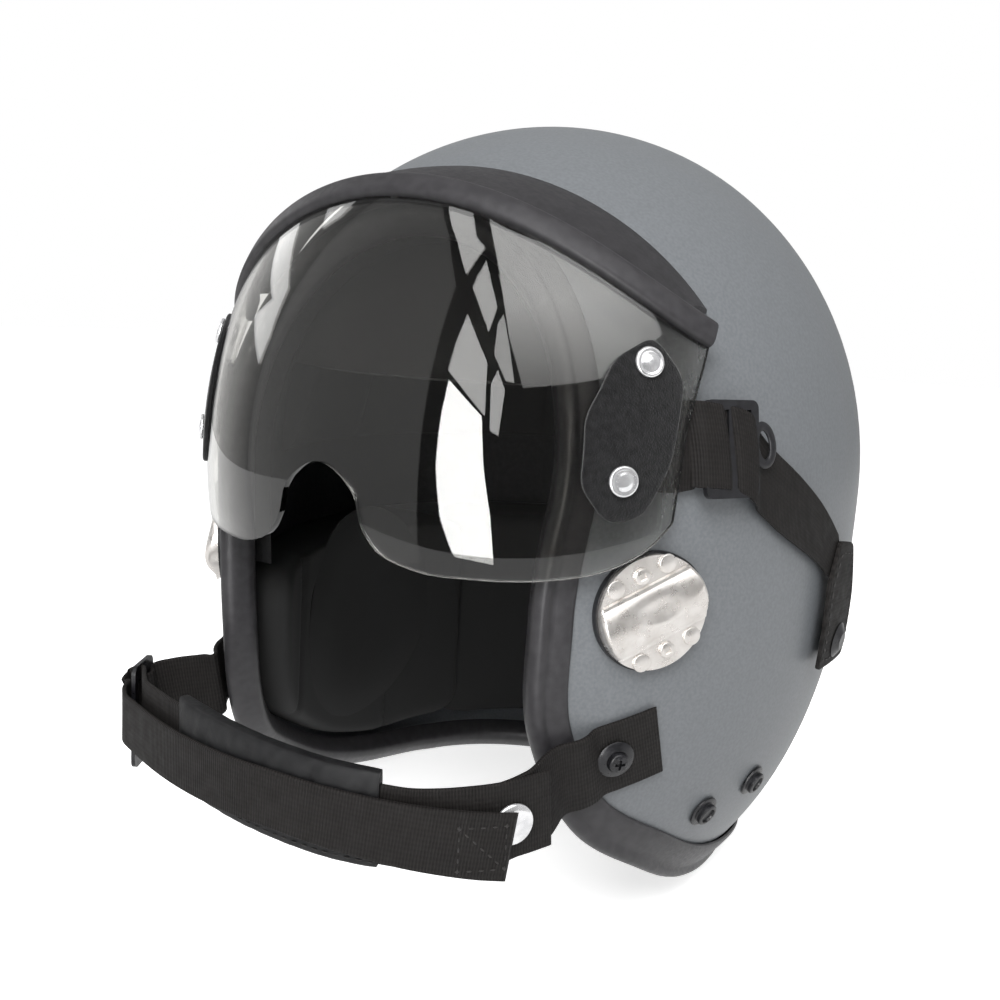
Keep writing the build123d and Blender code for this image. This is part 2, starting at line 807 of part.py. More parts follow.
def make_chin_strap():
    """Chin strap with its folded back tail, its sleeve, the two chin tabs and their snap."""
    loop = Spline(*chin_strap_route)
    spacing = chin_webbing + tab_clear
    tab_left = chin_tab([beside(loop, share, spacing) for share in left_tab_shares])
    spot = loop @ snap_share
    way = loop % snap_share
    plane = Plane(origin=(spot.X, spot.Y, snap_level), x_dir=way, z_dir=(-way.Y, way.X, 0))
    hole = disc(plane, snap_post_radius + bore_gap, -spare, spare)
    outside = chin_webbing / 2 + tab_clear
    back = -spacing - outside
    profile = [
        (socket_radius, back - socket_rise),
        (socket_radius, back),
        (snap_post_radius, back),
        (snap_post_radius, outside),
        (chin_snap_radius, outside),
        (chin_snap_radius, outside + chin_snap_rise / 2),
        (chin_snap_radius / 2, outside + chin_snap_rise),
    ]
    save("chin_tab_left", tab_left - hole)
    save("chin_tab_right", mirror(chin_tab(right_tab_route), about=Plane.YZ))
    save("chin_snap", turned_pin(plane, profile))
    clear = (sleeve_thickness + chin_webbing) / 2 + tail_gap
    first, last = tail_shares
    shares = [first + (last - first) * step / tail_steps for step in range(tail_steps + 1)]
    outer = [beside(loop, share, -clear) for share in shares]
    tail = Spline(chin_strap_route[-1], *tail_turn, *outer)
    strap = ribbon(loop, chin_webbing, chin_width, chin_strap_level)
    save("chin_strap", strap + ribbon(tail, chin_webbing, tail_width, tail_level) - hole)
    sleeve = ribbon(loop.trim(*sleeve_shares), sleeve_thickness, sleeve_height, sleeve_level)
    slot = ribbon(loop, chin_webbing + tab_clear, chin_width + tab_clear, chin_strap_level)
    save("chin_sleeve", sleeve - slot)


def make_chin_metal():
    """Ladder buckle at the strap's right end."""
    turn = math.radians(ladder_turn)
    along = Vector(math.cos(turn), math.sin(turn), 0)
    plane = Plane(origin=ladder_centre, x_dir=along, z_dir=(-along.Y, along.X, 0))
    window = Rectangle((ladder_width - 3 * ladder_bar) / 2, ladder_window)
    shift = (ladder_width - ladder_bar) / 4
    frame = RectangleRounded(ladder_width, ladder_height, ladder_bar)
    frame = frame - Pos(-shift, 0) * window - Pos(shift, 0) * window
    frame = frame - Pos(0, (ladder_bar - ladder_height) / 2) * Circle(ladder_hole_radius)
    save("ladder_buckle", plane * extrude(frame, amount=ladder_thickness / 2, both=True))


def make_studs():
    """Snap studs for a nape strap."""
    studs = []
    for place in stud_places:
        plane = wall_plane(half_width, *place)
        profile = [
            (stud_base_radius, -shell_wall - bond_gap - stud_base_rise),
            (stud_base_radius, -shell_wall - bond_gap),
            (stud_post_radius, -shell_wall - bond_gap),
            (stud_post_radius, bond_gap),
            (stud_base_radius, bond_gap),
            (stud_base_radius, bond_gap + stud_base_rise),
            (stud_radius, bond_gap + stud_base_rise),
            (stud_radius, stud_rise),
        ]
        studs.append(turned_pin(plane, profile))
    save("nape_studs", pair(Compound(children=studs)))


def main():
    """Makes every piece and writes it."""
    make_shell()
    make_trim()
    make_liner()
    make_ear_pieces()
    make_receivers()
    make_visor()
    make_visor_sides()
    make_chin_fasteners()
    make_chin_strap()
    make_chin_metal()
    make_studs()


main()
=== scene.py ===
"""Dresses the pilot flight helmet: painted shell, rubber, knit pads, webbing, clear visor and metal.

Sizes in the classes are millimetres and the meshes are written in metres. Z is up, the face looks
along -Y and X is the wearer's left, as in the solid model.
"""

import logging
import math
from dataclasses import dataclass
from enum import Enum

import bmesh
import bpy
import numpy as np
from mathutils import Matrix, Vector


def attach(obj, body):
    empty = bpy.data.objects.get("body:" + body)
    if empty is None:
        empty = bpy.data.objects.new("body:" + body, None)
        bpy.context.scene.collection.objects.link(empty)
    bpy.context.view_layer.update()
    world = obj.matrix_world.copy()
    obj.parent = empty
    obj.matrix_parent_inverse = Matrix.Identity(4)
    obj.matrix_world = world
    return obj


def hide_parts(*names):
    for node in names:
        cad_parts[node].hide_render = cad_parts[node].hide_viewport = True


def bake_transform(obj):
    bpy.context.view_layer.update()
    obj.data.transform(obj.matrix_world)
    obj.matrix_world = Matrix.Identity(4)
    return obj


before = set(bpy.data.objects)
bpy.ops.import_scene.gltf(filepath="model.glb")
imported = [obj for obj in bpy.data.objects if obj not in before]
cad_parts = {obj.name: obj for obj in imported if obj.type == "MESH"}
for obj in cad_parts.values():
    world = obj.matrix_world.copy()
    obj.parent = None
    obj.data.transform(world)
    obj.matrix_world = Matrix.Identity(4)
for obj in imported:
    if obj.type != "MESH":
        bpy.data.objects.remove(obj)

Array = np.ndarray
Pair = tuple[float, float]
Piece = bpy.types.Object
Socket = bpy.types.NodeSocket
Tree = bpy.types.NodeTree
log = logging.getLogger("helmet")
MM = 0.001
SIDES = {"left": 1.0, "right": -1.0}
TURN = 2 * math.pi
# Creases sharper than this, in degrees, aren't smoothed
SHARP_ANGLE = 42
# Points closer than this, in metres, become one
WELD_DISTANCE = 1e-6
# Steps that halve a search range until it is far under a micrometre
HALVINGS = 30


class Body(Enum):
    """Bodies of the solid model that a piece may ride on."""

    ROOT = "root"
    VISOR = "visor"
    CHIN = "chin_strap"


# Curves and meshes


def unit(vectors: Array) -> Array:
    """Vectors divided by their lengths."""
    return vectors / np.linalg.norm(vectors, axis=-1, keepdims=True)


def even_run(points: Array, count: int) -> Array:
    """Points spread evenly along a fine polyline: each is read off at its share of the length.

    Args:
        points: fine polyline, one row per point.
        count: number of points wanted.

    Returns:
        The even points, one row each.
    """
    steps = np.linalg.norm(np.diff(points, axis=0), axis=1)
    at = np.concatenate([[0.0], np.cumsum(steps)])
    where = np.linspace(0.0, at[-1], count)
    return np.stack([np.interp(where, at, column) for column in points.T], axis=1)


def smooth_line(knots: object, count: int, closed: bool = False) -> Array:
    """Even points on a smooth curve through knots.

    Each span is a cubic Hermite curve, and a knot's slope is the mean of its two chords' slopes,
    weighted towards the shorter chord.

    Args:
        knots: points that the curve passes through.
        count: number of points wanted.
        closed: whether the curve returns to its first knot, which isn't repeated.

    Returns:
        The even points, one row each.
    """
    knots = np.asarray(knots, float)
    if closed:
        knots = np.vstack([knots[-1:], knots, knots[:2]])
    steps = np.linalg.norm(np.diff(knots, axis=0), axis=1)
    at = np.concatenate([[0.0], np.cumsum(steps)])
    slopes = np.diff(knots, axis=0) / steps[:, None]
    weights = (steps[:-1] + steps[1:])[:, None]
    inner = (steps[1:, None] * slopes[:-1] + steps[:-1, None] * slopes[1:]) / weights
    tangents = np.vstack([slopes[:1], inner, slopes[-1:]])
    where = np.linspace(at[1], at[-2], 8 * count) if closed else np.linspace(0.0, at[-1], 8 * count)
    index = np.clip(np.searchsorted(at, where, side="right") - 1, 0, len(steps) - 1)
    s = ((where - at[index]) / steps[index])[:, None]
    span = steps[index][:, None]
    curve = (
        (2 * s**3 - 3 * s**2 + 1) * knots[index]
        + (s**3 - 2 * s**2 + s) * span * tangents[index]
        + (3 * s**2 - 2 * s**3) * knots[index + 1]
        + (s**3 - s**2) * span * tangents[index + 1]
    )
    return even_run(curve, count + 1)[:-1] if closed else even_run(curve, count)


def tangents_of(path: Array, closed: bool) -> Array:
    """Unit directions along a path, from each point's two neighbours."""
    if closed:
        return unit(np.roll(path, -1, axis=0) - np.roll(path, 1, axis=0))
    return unit(np.gradient(path, axis=0))


def grid_faces(rows: int, columns: int, close_rows: bool, close_columns: bool) -> Array:
    """Quads of a grid whose points are numbered row by row.

    Args:
        rows: rows of points.
        columns: points in a row.
        close_rows: whether the last row joins the first.
        close_columns: whether the last column joins the first.

    Returns:
        Four point numbers for each face.
    """
    row = np.arange(rows if close_rows else rows - 1)[:, None]
    column = np.arange(columns if close_columns else columns - 1)[None, :]
    after = (column + 1) % columns
    below = (row + 1) % rows
    this_row, next_row = row * columns, below * columns
    corners = (this_row + column, this_row + after, next_row + after, next_row + column)
    return np.stack(np.broadcast_arrays(*corners), axis=-1).reshape(-1, 4)


def make_piece(name: str, points: Array, faces: list, uv: Array | None = None) -> Piece:
    """Mesh object from points in millimetres, welded, smooth and with its faces outwards.

    Args:
        name: the piece's name.
        points: one row per point.
        faces: lists of point numbers.
        uv: a length along and a length across for each point, in millimetres.

    Returns:
        The new object, at the origin.
    """
    mesh = bpy.data.meshes.new(name)
    mesh.from_pydata((points * MM).tolist(), [], [list(face) for face in faces])
    if uv is not None:
        corner = np.zeros(len(mesh.loops), np.int32)
        mesh.loops.foreach_get("vertex_index", corner)
        layer = mesh.uv_layers.new(name="lay")
        layer.data.foreach_set("uv", (uv[corner] * MM).astype(np.float32).ravel())
    piece = bpy.data.objects.new(name, mesh)
    bpy.context.scene.collection.objects.link(piece)
    weld(mesh)
    mesh.polygons.foreach_set("use_smooth", np.ones(len(mesh.polygons), bool))
    mesh.set_sharp_from_angle(angle=math.radians(SHARP_ANGLE))
    return piece


def weld(mesh: bpy.types.Mesh) -> None:
    """Merges doubled points and turns a closed mesh's faces outwards by its signed volume.

    Args:
        mesh: the mesh, which is changed in place.
    """
    work = bmesh.new()
    work.from_mesh(mesh)
    bmesh.ops.remove_doubles(work, verts=work.verts, dist=WELD_DISTANCE)
    if work.calc_volume(signed=True) < 0:
        bmesh.ops.reverse_faces(work, faces=work.faces)
    work.to_mesh(mesh)
    work.free()


def grid_piece(
    name: str,
    points: Array,
    uv: Array | None = None,
    close_rows: bool = False,
    close_columns: bool = False,
    caps: bool = False,
) -> Piece:
    """Object whose surface is a grid of points.

    Args:
        name: the piece's name.
        points: rows by columns by 3.
        uv: rows by columns by 2, or None.
        close_rows: whether the last row joins the first.
        close_columns: whether the last column joins the first.
        caps: whether the first and last rows are closed with one face each.

    Returns:
        The new object.
    """
    rows, columns = points.shape[:2]
    faces = grid_faces(rows, columns, close_rows, close_columns).tolist()
    if caps:
        faces.append(list(range(columns))[::-1])
        faces.append([(rows - 1) * columns + index for index in range(columns)])
    flat_uv = None if uv is None else uv.reshape(-1, 2)
    return make_piece(name, points.reshape(-1, 3), faces, flat_uv)


def sweep_grid(path: Array, out: Array, profile: Array, closed: bool) -> tuple[Array, Array]:
    """Grid of a closed profile carried along a path, with its lengths along and round.

    A point is the path's point, plus the profile's first number across the path and its second
    along the path's outward direction. Across is the tangent crossed with outward.

    Args:
        path: one row per point.
        out: outward direction at each point.
        profile: points of the section, or one such set per path point.
        closed: whether the path is a ring.

    Returns:
        The points, and the lengths.
    """
    across = unit(np.cross(tangents_of(path, closed), out))
    if profile.ndim == 2:
        profile = np.broadcast_to(profile, (len(path), *profile.shape))
    points = path[:, None] + across[:, None] * profile[..., :1] + out[:, None] * profile[..., 1:]
    run = np.concatenate([[0.0], np.cumsum(np.linalg.norm(np.diff(path, axis=0), axis=1))])
    girth = np.cumsum(np.linalg.norm(np.diff(profile, axis=1, prepend=profile[:, :1]), axis=-1), axis=1)
    return points, np.stack([np.broadcast_to(run[:, None], girth.shape), girth], axis=-1)


def swept(name: str, path: Array, out: Array, profile: Array, closed: bool) -> Piece:
    """Object whose surface is a profile carried along a path."""
    points, uv = sweep_grid(path, out, profile, closed)
    return grid_piece(name, points, uv, close_rows=closed, close_columns=True, caps=not closed)


def slab(
    name: str, middle: Array, out: Array, thickness: float, rounding: float, uv: Array
) -> Piece:
    """Sheet with rounded edges: two copies of a grid moved apart, which meet at its border.

    The half thickness at a point is that of a quarter circle over the last stretch to the border.

    Args:
        name: the piece's name.
        middle: rows by columns by 3, the sheet's middle surface.
        out: its normals.
        thickness: full thickness.
        rounding: width of the rounded border.
        uv: rows by columns by 2.

    Returns:
        The new object.
    """
    rows = np.linalg.norm(np.diff(middle, axis=0), axis=-1).mean(axis=1)
    columns = np.linalg.norm(np.diff(middle, axis=1), axis=-1).mean(axis=0)
    down = np.concatenate([[0.0], np.cumsum(rows)])
    side = np.concatenate([[0.0], np.cumsum(columns)])
    to_border = np.minimum(
        np.minimum(down, down[-1] - down)[:, None], np.minimum(side, side[-1] - side)[None, :]
    )
    inside = np.clip(to_border / rounding, 0.0, 1.0)
    half = thickness / 2 * np.sqrt(1 - (1 - inside) ** 2)
    upper = middle + out * half[..., None]
    lower = middle - out * half[..., None]
    count = middle.shape[0] * middle.shape[1]
    faces = grid_faces(*middle.shape[:2], False, False)
    points = np.concatenate([upper.reshape(-1, 3), lower.reshape(-1, 3)])
    both = np.concatenate([faces, faces[:, ::-1] + count])
    return make_piece(name, points, both.tolist(), np.concatenate([uv.reshape(-1, 2)] * 2))


def from_crown(angle: Array, turn: Array) -> Array:
    """Directions at angles down from straight up and turns about it."""
    return np.stack([np.sin(angle) * np.cos(turn), np.sin(angle) * np.sin(turn), np.cos(angle)], axis=-1)


def squared(angle: Array, power: float) -> Array:
    """Unit rounded square at angles: the cosine and sine, each raised to a power with its sign kept."""
    both = np.stack([np.cos(angle), np.sin(angle)], axis=-1)
    return np.sign(both) * np.abs(both) ** power


def spread(count: int, width: float, border: float) -> Array:
    """Shares of a width with a few more of them inside its two borders.

    Args:
        count: shares between the borders.
        width: the whole width.
        border: width of each border.

    Returns:
        The shares, from 0 to 1.
    """
    edge = border / width
    near = edge * (1 - np.cos(np.linspace(0, math.pi / 2, 5)))
    middle = np.linspace(edge, 1 - edge, count)
    return np.unique(np.concatenate([near, middle, 1 - near]))


# The helmet's form


@dataclass(frozen=True)
class Seat:
    """A place on a wall: an origin and three directions, with z outward."""

    origin: Array
    x: Array
    y: Array
    z: Array

    def at(self, across: Array, up: Array, out: Array) -> Array:
        """Points at distances along the seat's directions."""
        across, up, out = (np.asarray(value, float)[..., None] for value in (across, up, out))
        return self.origin + across * self.x + up * self.y + out * self.z

    def turned(self, degrees: float) -> "Seat":
        """The seat turned about its z."""
        angle = math.radians(degrees)
        x = math.cos(angle) * self.x + math.sin(angle) * self.y
        y = -math.sin(angle) * self.x + math.cos(angle) * self.y
        return Seat(self.origin, x, y, self.z)

    def moved(self, across: float, up: float, out: float = 0.0) -> "Seat":
        """The seat moved along its own directions."""
        return Seat(self.at(across, up, out), self.x, self.y, self.z)

    def mirrored(self, side: float) -> "Seat":
        """The seat on the given side of the middle plane."""
        flip = np.array([side, 1.0, 1.0])
        return Seat(self.origin * flip, self.x * flip, self.y * flip, self.z * flip)


@dataclass(frozen=True)
class Wall:
    """A surface given by its left half width over a side view of stations and levels."""

    def width(self, station: Array, level: Array) -> Array:
        """Half width at stations and levels."""
        raise NotImplementedError

    def normal(self, station: Array, level: Array) -> Array:
        """Outward normals on the left half, from central differences of the half width."""
        step = 0.5
        across = (self.width(station + step, level) - self.width(station - step, level)) / (2 * step)
        upward = (self.width(station, level + step) - self.width(station, level - step)) / (2 * step)
        return unit(np.stack([np.ones_like(across), -across, -upward], axis=-1))

    def on(self, station: Array, level: Array, lift: Array | float) -> Array:
        """Points on the left half, raised by a lift along the normal."""
        station, level = np.broadcast_arrays(np.asarray(station, float), np.asarray(level, float))
        base = np.stack([self.width(station, level), station, level], axis=-1)
        return base + self.normal(station, level) * np.asarray(lift, float)[..., None]

    def seat(self, station: float, level: float, lift: float = 0.0) -> Seat:
        """Seat on the left half with its x to the rear."""
        z = self.normal(np.float64(station), np.float64(level))
        x = unit(np.cross([0.0, 0.0, 1.0], z))
        return Seat(self.on(station, level, lift), x, np.cross(z, x), z)


@dataclass(frozen=True)
class ShellForm(Wall):
    """Outside of the shell: an ellipsoid above its widest level, fuller ellipses below it."""

    half_width: float = 122.0
    front: float = 144.0
    rear: float = 123.0
    rise: float = 132.5
    drop: float = 178.0
    level: float = 152.8
    station: float = 14.0
    fullness: tuple[float, float, float] = (2.4, 3.4, 2.0)
    pole: tuple[float, float, float] = (0.0, 0.75, 0.66)
    edge: tuple[Pair, ...] = (
        (-84, 275), (-91, 244), (-103.5, 180), (-108.5, 120), (-105, 84), (-90, 54), (-60, 32.5),
        (-34, 19), (-8, 11), (18, 6.6), (42, 5),
    )

    @property
    def centre(self) -> Array:
        """Middle of the widest section."""
        return np.array([0.0, self.station, self.level])

    def axes(self, rise: Array) -> tuple[Array, Array, Array]:
        """Half axes of the level section at a height over the widest one.

        Above it all three shrink as a circle does. Below it each is (1 - share^p)^(1/p) of its
        largest, where p is its fullness and share is the drop's share.
        """
        up = np.sqrt(np.clip(1 - (rise / self.rise) ** 2, 0, None))
        share = np.clip(-rise / self.drop, 0, 0.9999)
        low = [(1 - share**p) ** (1 / p) for p in self.fullness]
        sizes = (self.half_width, self.front, self.rear)
        return tuple(size * np.where(rise > 0, up, part) for size, part in zip(sizes, low))

    def width(self, station: Array, level: Array) -> Array:
        """Half width at stations and levels."""
        width, front, rear = self.axes(level - self.level)
        run = station - self.station
        depth = np.where(run < 0, front, rear)
        return width * np.sqrt(np.clip(1 - (run / np.maximum(depth, 1e-6)) ** 2, 0, None))

    def inside(self, points: Array) -> Array:
        """How far points are inside: below 0 within the shell, 0 on it."""
        width, front, rear = self.axes(points[..., 2] - self.level)
        run = points[..., 1] - self.station
        depth = np.where(run < 0, front, rear)
        return (points[..., 0] / np.maximum(width, 1e-3)) ** 2 + (run / np.maximum(depth, 1e-3)) ** 2 - 1

    def normals(self, points: Array) -> Array:
        """Outward normals at points, from central differences of the inside measure."""
        step = 0.5
        slopes = [self.inside(points + step * axis) - self.inside(points - step * axis) for axis in np.eye(3)]
        return unit(np.stack(slopes, axis=-1))

    def cast(self, directions: Array) -> Array:
        """Points where rays from the centre meet the shell, by halving.

        Args:
            directions: unit directions from the centre.

        Returns:
            One point for each direction.
        """
        near = np.zeros(directions.shape[:-1])
        far = np.full(directions.shape[:-1], 260.0)
        for _ in range(40):
            middle = (near + far) / 2
            within = self.inside(self.centre + directions * middle[..., None]) < 0
            near = np.where(within, middle, near)
            far = np.where(within, far, middle)
        return self.centre + directions * near[..., None]

    def edge_loop(self, count: int) -> tuple[Array, Array]:
        """The shell's edge all round, from the brow down the left side and back up the right.

        Args:
            count: number of points wanted.

        Returns:
            The points, and at each the share of the edge that runs level rather than upright.
        """
        side = smooth_line(self.edge, 2000)
        _, front, _ = self.axes(side[:, 1] - self.level)
        room = 1 - ((side[:, 0] - self.station) / np.maximum(front, 1e-3)) ** 2
        side = side[np.argmax(room > 0) :] if room[0] <= 0 else side
        _, _, rear = self.axes(np.array(side[-1, 1] - self.level))
        last = self.station + float(rear)
        sweep = np.sin(np.linspace(0, math.pi / 2, 600))[1:]
        stations = side[-1, 0] + (last - side[-1, 0]) * sweep
        side = np.vstack([side, np.stack([stations, np.full_like(stations, side[-1, 1])], axis=1)])
        half = np.column_stack([self.width(side[:, 0], side[:, 1]), side])
        half[0, 0] = 0.0
        half[-1, 0] = 0.0
        way = unit(np.gradient(side, axis=0))
        level_share = way[:, 0] ** 2
        level_share[-600:] = 1.0
        both = np.vstack([half, (half * [-1, 1, 1])[-2:0:-1]])
        shares = np.concatenate([level_share, level_share[-2:0:-1]])
        rows = np.column_stack([both, shares])
        even = even_run(np.vstack([rows, rows[:1]]), count + 1)[:-1]
        return even[:, :3], even[:, 3]

    def dome(self, rim: Array, rings: int) -> Array:
        """Grid over the shell from its rear pole out to a rim.

        A ring's directions are the great circle steps between the pole's direction and the rim's.

        Args:
            rim: the rim's points.
            rings: number of rings.

        Returns:
            Rings by rim points by 3.
        """
        pole = unit(np.array(self.pole))
        ends = unit(rim - self.centre)
        angle = np.arccos(np.clip(ends @ pole, -1, 1))[None, :, None]
        share = np.linspace(0, 1, rings)[:, None, None]
        directions = (np.sin((1 - share) * angle) * pole + np.sin(share * angle) * ends[None]) / np.sin(angle)
        points = self.cast(directions)
        points[-1] = rim
        return points


@dataclass(frozen=True)
class LensForm(Wall):
    """Outside of the lens: an ellipse turned about the visor's hinge line."""

    half_width: float = 122.0
    radius: float = 148.0
    station: float = 8.0
    level: float = 157.5

    def width(self, station: Array, level: Array) -> Array:
        """Half width at stations and levels."""
        radius = np.hypot(station - self.station, level - self.level)
        return self.half_width * np.sqrt(np.clip(1 - (radius / self.radius) ** 2, 0, None))

    def place(self, across: Array, angle: Array) -> Array:
        """Points at distances across and angles up from straight ahead."""
        radius = self.radius * np.sqrt(np.clip(1 - (across / self.half_width) ** 2, 0, None))
        return np.stack(
            [across, self.station - radius * np.cos(angle), self.level + radius * np.sin(angle)], axis=-1
        )

    def flat(self, points: Array) -> Array:
        """Distances across and angles up of points on the lens."""
        run = self.station - points[..., 1]
        return np.stack([points[..., 0], np.arctan2(points[..., 2] - self.level, run)], axis=-1)

    def normals(self, points: Array) -> Array:
        """Outward normals of the turned ellipse, whose gradient is the point over the half axes squared."""
        squares = np.array([self.half_width, self.radius, self.radius]) ** 2
        return unit((points - [0, self.station, self.level]) / squares)


SHELL = ShellForm()
LENS = LensForm()


# Finishes


def linear(code: str) -> tuple[float, float, float, float]:
    """Linear colour of an sRGB hex code: the curve's straight part below 0.04045, its power above."""
    shares = [int(code[start : start + 2], 16) / 255 for start in (1, 3, 5)]
    return (*(v / 12.92 if v <= 0.04045 else ((v + 0.055) / 1.055) ** 2.4 for v in shares), 1.0)


def repeats(size: float) -> float:
    """Noise or cell scale on metres whose features are about a size in millimetres."""
    return 1 / (size * MM)


def wave_repeats(spacing: float) -> float:
    """Wave texture scale on metres whose bands lie a spacing in millimetres apart."""
    return math.pi / 10 / (spacing * MM)


def add(
    tree: Tree, kind: str, links: dict | None = None, **settings: object
) -> bpy.types.Node:
    """Adds a node.

    Args:
        tree: the material's node tree.
        kind: the node's type name.
        links: socket names or numbers, each with a value or another node's output socket.
        settings: the node's own properties.

    Returns:
        The new node.
    """
    made = tree.nodes.new(kind)
    for name, value in settings.items():
        setattr(made, name, value)
    for socket, value in (links or {}).items():
        if isinstance(value, Socket):
            tree.links.new(value, made.inputs[socket])
        else:
            made.inputs[socket].default_value = value
    return made


def noise(tree: Tree, where: Socket, size: float, detail: float) -> bpy.types.Node:
    """Noise texture whose features are about a size in millimetres."""
    return add(tree, "ShaderNodeTexNoise", {"Vector": where, "Scale": repeats(size), "Detail": detail})


@dataclass(frozen=True)
class Finish:
    """A surface with two colours mixed by cloudy noise, and grain as bump.

    Attributes:
        name: what the real finish is.
        dark: sRGB hex of its darker patches.
        light: sRGB hex of its lighter patches.
        patch: size of the patches in millimetres.
        grain: size of the bumps in millimetres.
        relief: height of the bumps in millimetres.
        roughness: lowest and highest roughness.
        metallic: 1 for bare metal.
        sheen: weight of the soft edge light of fibres.
        specular: specular level, 0.5 for common plastics.
    """

    name: str
    dark: str
    light: str
    patch: float
    grain: float
    relief: float
    roughness: tuple[float, float]
    metallic: float = 0.0
    sheen: float = 0.0
    specular: float = 0.5

    def coordinates(self, tree: Tree) -> Socket:
        """Object coordinates in metres."""
        return add(tree, "ShaderNodeTexCoord").outputs["Object"]

    def relief_height(self, tree: Tree, where: Socket) -> Socket:
        """Height of the surface, from 0 to 1: fine noise."""
        return noise(tree, where, self.grain, 3.0).outputs["Fac"]

    def tint(self, tree: Tree, where: Socket, height: Socket) -> Socket:
        """Colour: the dark one and the light one mixed by cloudy noise."""
        cloud = noise(tree, where, self.patch, 4.0)
        ramp = add(tree, "ShaderNodeValToRGB", {"Fac": cloud.outputs["Fac"]})
        ramp.color_ramp.elements[0].position = 0.35
        ramp.color_ramp.elements[1].position = 0.65
        ramp.color_ramp.elements[0].color = linear(self.dark)
        ramp.color_ramp.elements[1].color = linear(self.light)
        return ramp.outputs["Color"]

    def material(self) -> bpy.types.Material:
        """The finish's material, made once."""
        known = bpy.data.materials.get(self.name)
        if known:
            return known
        made = bpy.data.materials.new(self.name)
        made.use_nodes = True
        tree = made.node_tree
        shader = tree.nodes["Principled BSDF"]
        where = self.coordinates(tree)
        height = self.relief_height(tree, where)
        tree.links.new(self.tint(tree, where, height), shader.inputs["Base Color"])
        wear = noise(tree, where, self.patch / 2, 3.0)
        low, high = self.roughness
        limits = {"From Min": 0.3, "From Max": 0.7, "To Min": low, "To Max": high}
        span = add(tree, "ShaderNodeMapRange", {"Value": wear.outputs["Fac"], **limits})
        tree.links.new(span.outputs["Result"], shader.inputs["Roughness"])
        bump = add(tree, "ShaderNodeBump", {"Height": height, "Distance": self.relief * MM, "Strength": 1.0})
        tree.links.new(bump.outputs["Normal"], shader.inputs["Normal"])
        shader.inputs["Metallic"].default_value = self.metallic
        shader.inputs["Sheen Weight"].default_value = self.sheen
        shader.inputs["Specular IOR Level"].default_value = self.specular
        return made


@dataclass(frozen=True)
class Woven(Finish):
    """Webbing or knit that reads its own lay: ribs across its length and finer threads along it."""

    rib: float = 1.0
    thread: float = 0.7
    rib_share: float = 0.6

    def coordinates(self, tree: Tree) -> Socket:
        """The piece's own lengths along and across, in metres."""
        return add(tree, "ShaderNodeUVMap", uv_map="lay").outputs["UV"]

    def relief_height(self, tree: Tree, where: Socket) -> Socket:
        """Height: bands of ribs and threads, a little bent by noise."""
        bent = {"Vector": where, "Distortion": 0.5, "Detail": 1.0}
        rib_bands = {**bent, "Scale": wave_repeats(self.rib), "Detail Scale": 1.5}
        ribs = add(tree, "ShaderNodeTexWave", rib_bands, bands_direction="X")
        thread_bands = {**bent, "Scale": wave_repeats(self.thread)}
        threads = add(tree, "ShaderNodeTexWave", thread_bands, bands_direction="Y")
        heights = {2: threads.outputs["Fac"], 3: ribs.outputs["Fac"]}
        return add(tree, "ShaderNodeMix", {"Factor": self.rib_share, **heights}).outputs[0]

    def tint(self, tree: Tree, where: Socket, height: Socket) -> Socket:
        """Colour: painted shade, dark between the threads and light on them, with faint cloudy wear."""
        cloud = noise(tree, where, self.patch, 4.0)
        # Painted shade: the colour is darker where the relief is low, between the threads
        raised = add(tree, "ShaderNodeMath", {0: height, 1: 0.7, 2: -0.1}, operation="MULTIPLY_ADD")
        terms = {0: cloud.outputs["Fac"], 1: 0.5, 2: raised.outputs[0]}
        both = add(tree, "ShaderNodeMath", terms, operation="MULTIPLY_ADD")
        colours = {"A": linear(self.dark), "B": linear(self.light)}
        mix = add(tree, "ShaderNodeMix", {"Factor": both.outputs[0], **colours}, data_type="RGBA")
        return mix.outputs["Result"]


# Satin two-part paint over a moulded composite: soft wide highlight, faint orange peel and speckle
SHELL_PAINT = Finish("satin_grey_paint", "#606366", "#696c6f", 1.1, 1.3, 0.012, (0.38, 0.46))
# Moulded nitrile rubber: near black, dull, with a soft shine on its rounded ridge
TRIM_RUBBER = Finish("moulded_rubber", "#29282a", "#333234", 3.0, 0.7, 0.02, (0.38, 0.52), specular=0.4)
# Soft lip rubber is a little duller than the trim
LIP_RUBBER = Finish("soft_rubber", "#1f1e20", "#29282a", 4.0, 0.9, 0.03, (0.5, 0.62))
# Expanded foam that shows only at the liner's rim
LINER_FOAM = Finish("black_foam", "#141415", "#1d1d1e", 2.5, 2.2, 0.25, (0.8, 0.95))
# Injection moulded nylon: fine mould texture, low shine
NYLON = Finish("moulded_nylon", "#141416", "#1e1e21", 2.0, 0.5, 0.02, (0.38, 0.5))
# Coated spring steel: smooth black with soft highlights
BLACK_STEEL = Finish("black_coated_steel", "#121214", "#1b1b1e", 3.0, 0.6, 0.01, (0.26, 0.4))
# Nickel plate with rubbed patches, which turn a bright reflection cloudy
NICKEL = Finish("polished_nickel", "#d4cfca", "#e8e4e0", 6.0, 5.0, 0.02, (0.24, 0.36), metallic=0.8)
# Bright chrome plate on pressed brass snaps
CHROME = Finish("bright_chrome", "#dcdcde", "#f4f4f5", 4.0, 3.0, 0.02, (0.08, 0.2), metallic=0.75)
# Pile of the hook-and-pile patch: no shine, tiny tufts
PILE = Finish("looped_pile", "#0b0b0c", "#1a1a1b", 2.0, 0.55, 0.35, (0.85, 1.0), sheen=0.25, specular=0.2)
# Grained leather of the chin sleeve
LEATHER = Finish("grained_leather", "#0f0f10", "#1b1b1c", 3.0, 1.1, 0.06, (0.5, 0.65), specular=0.35)
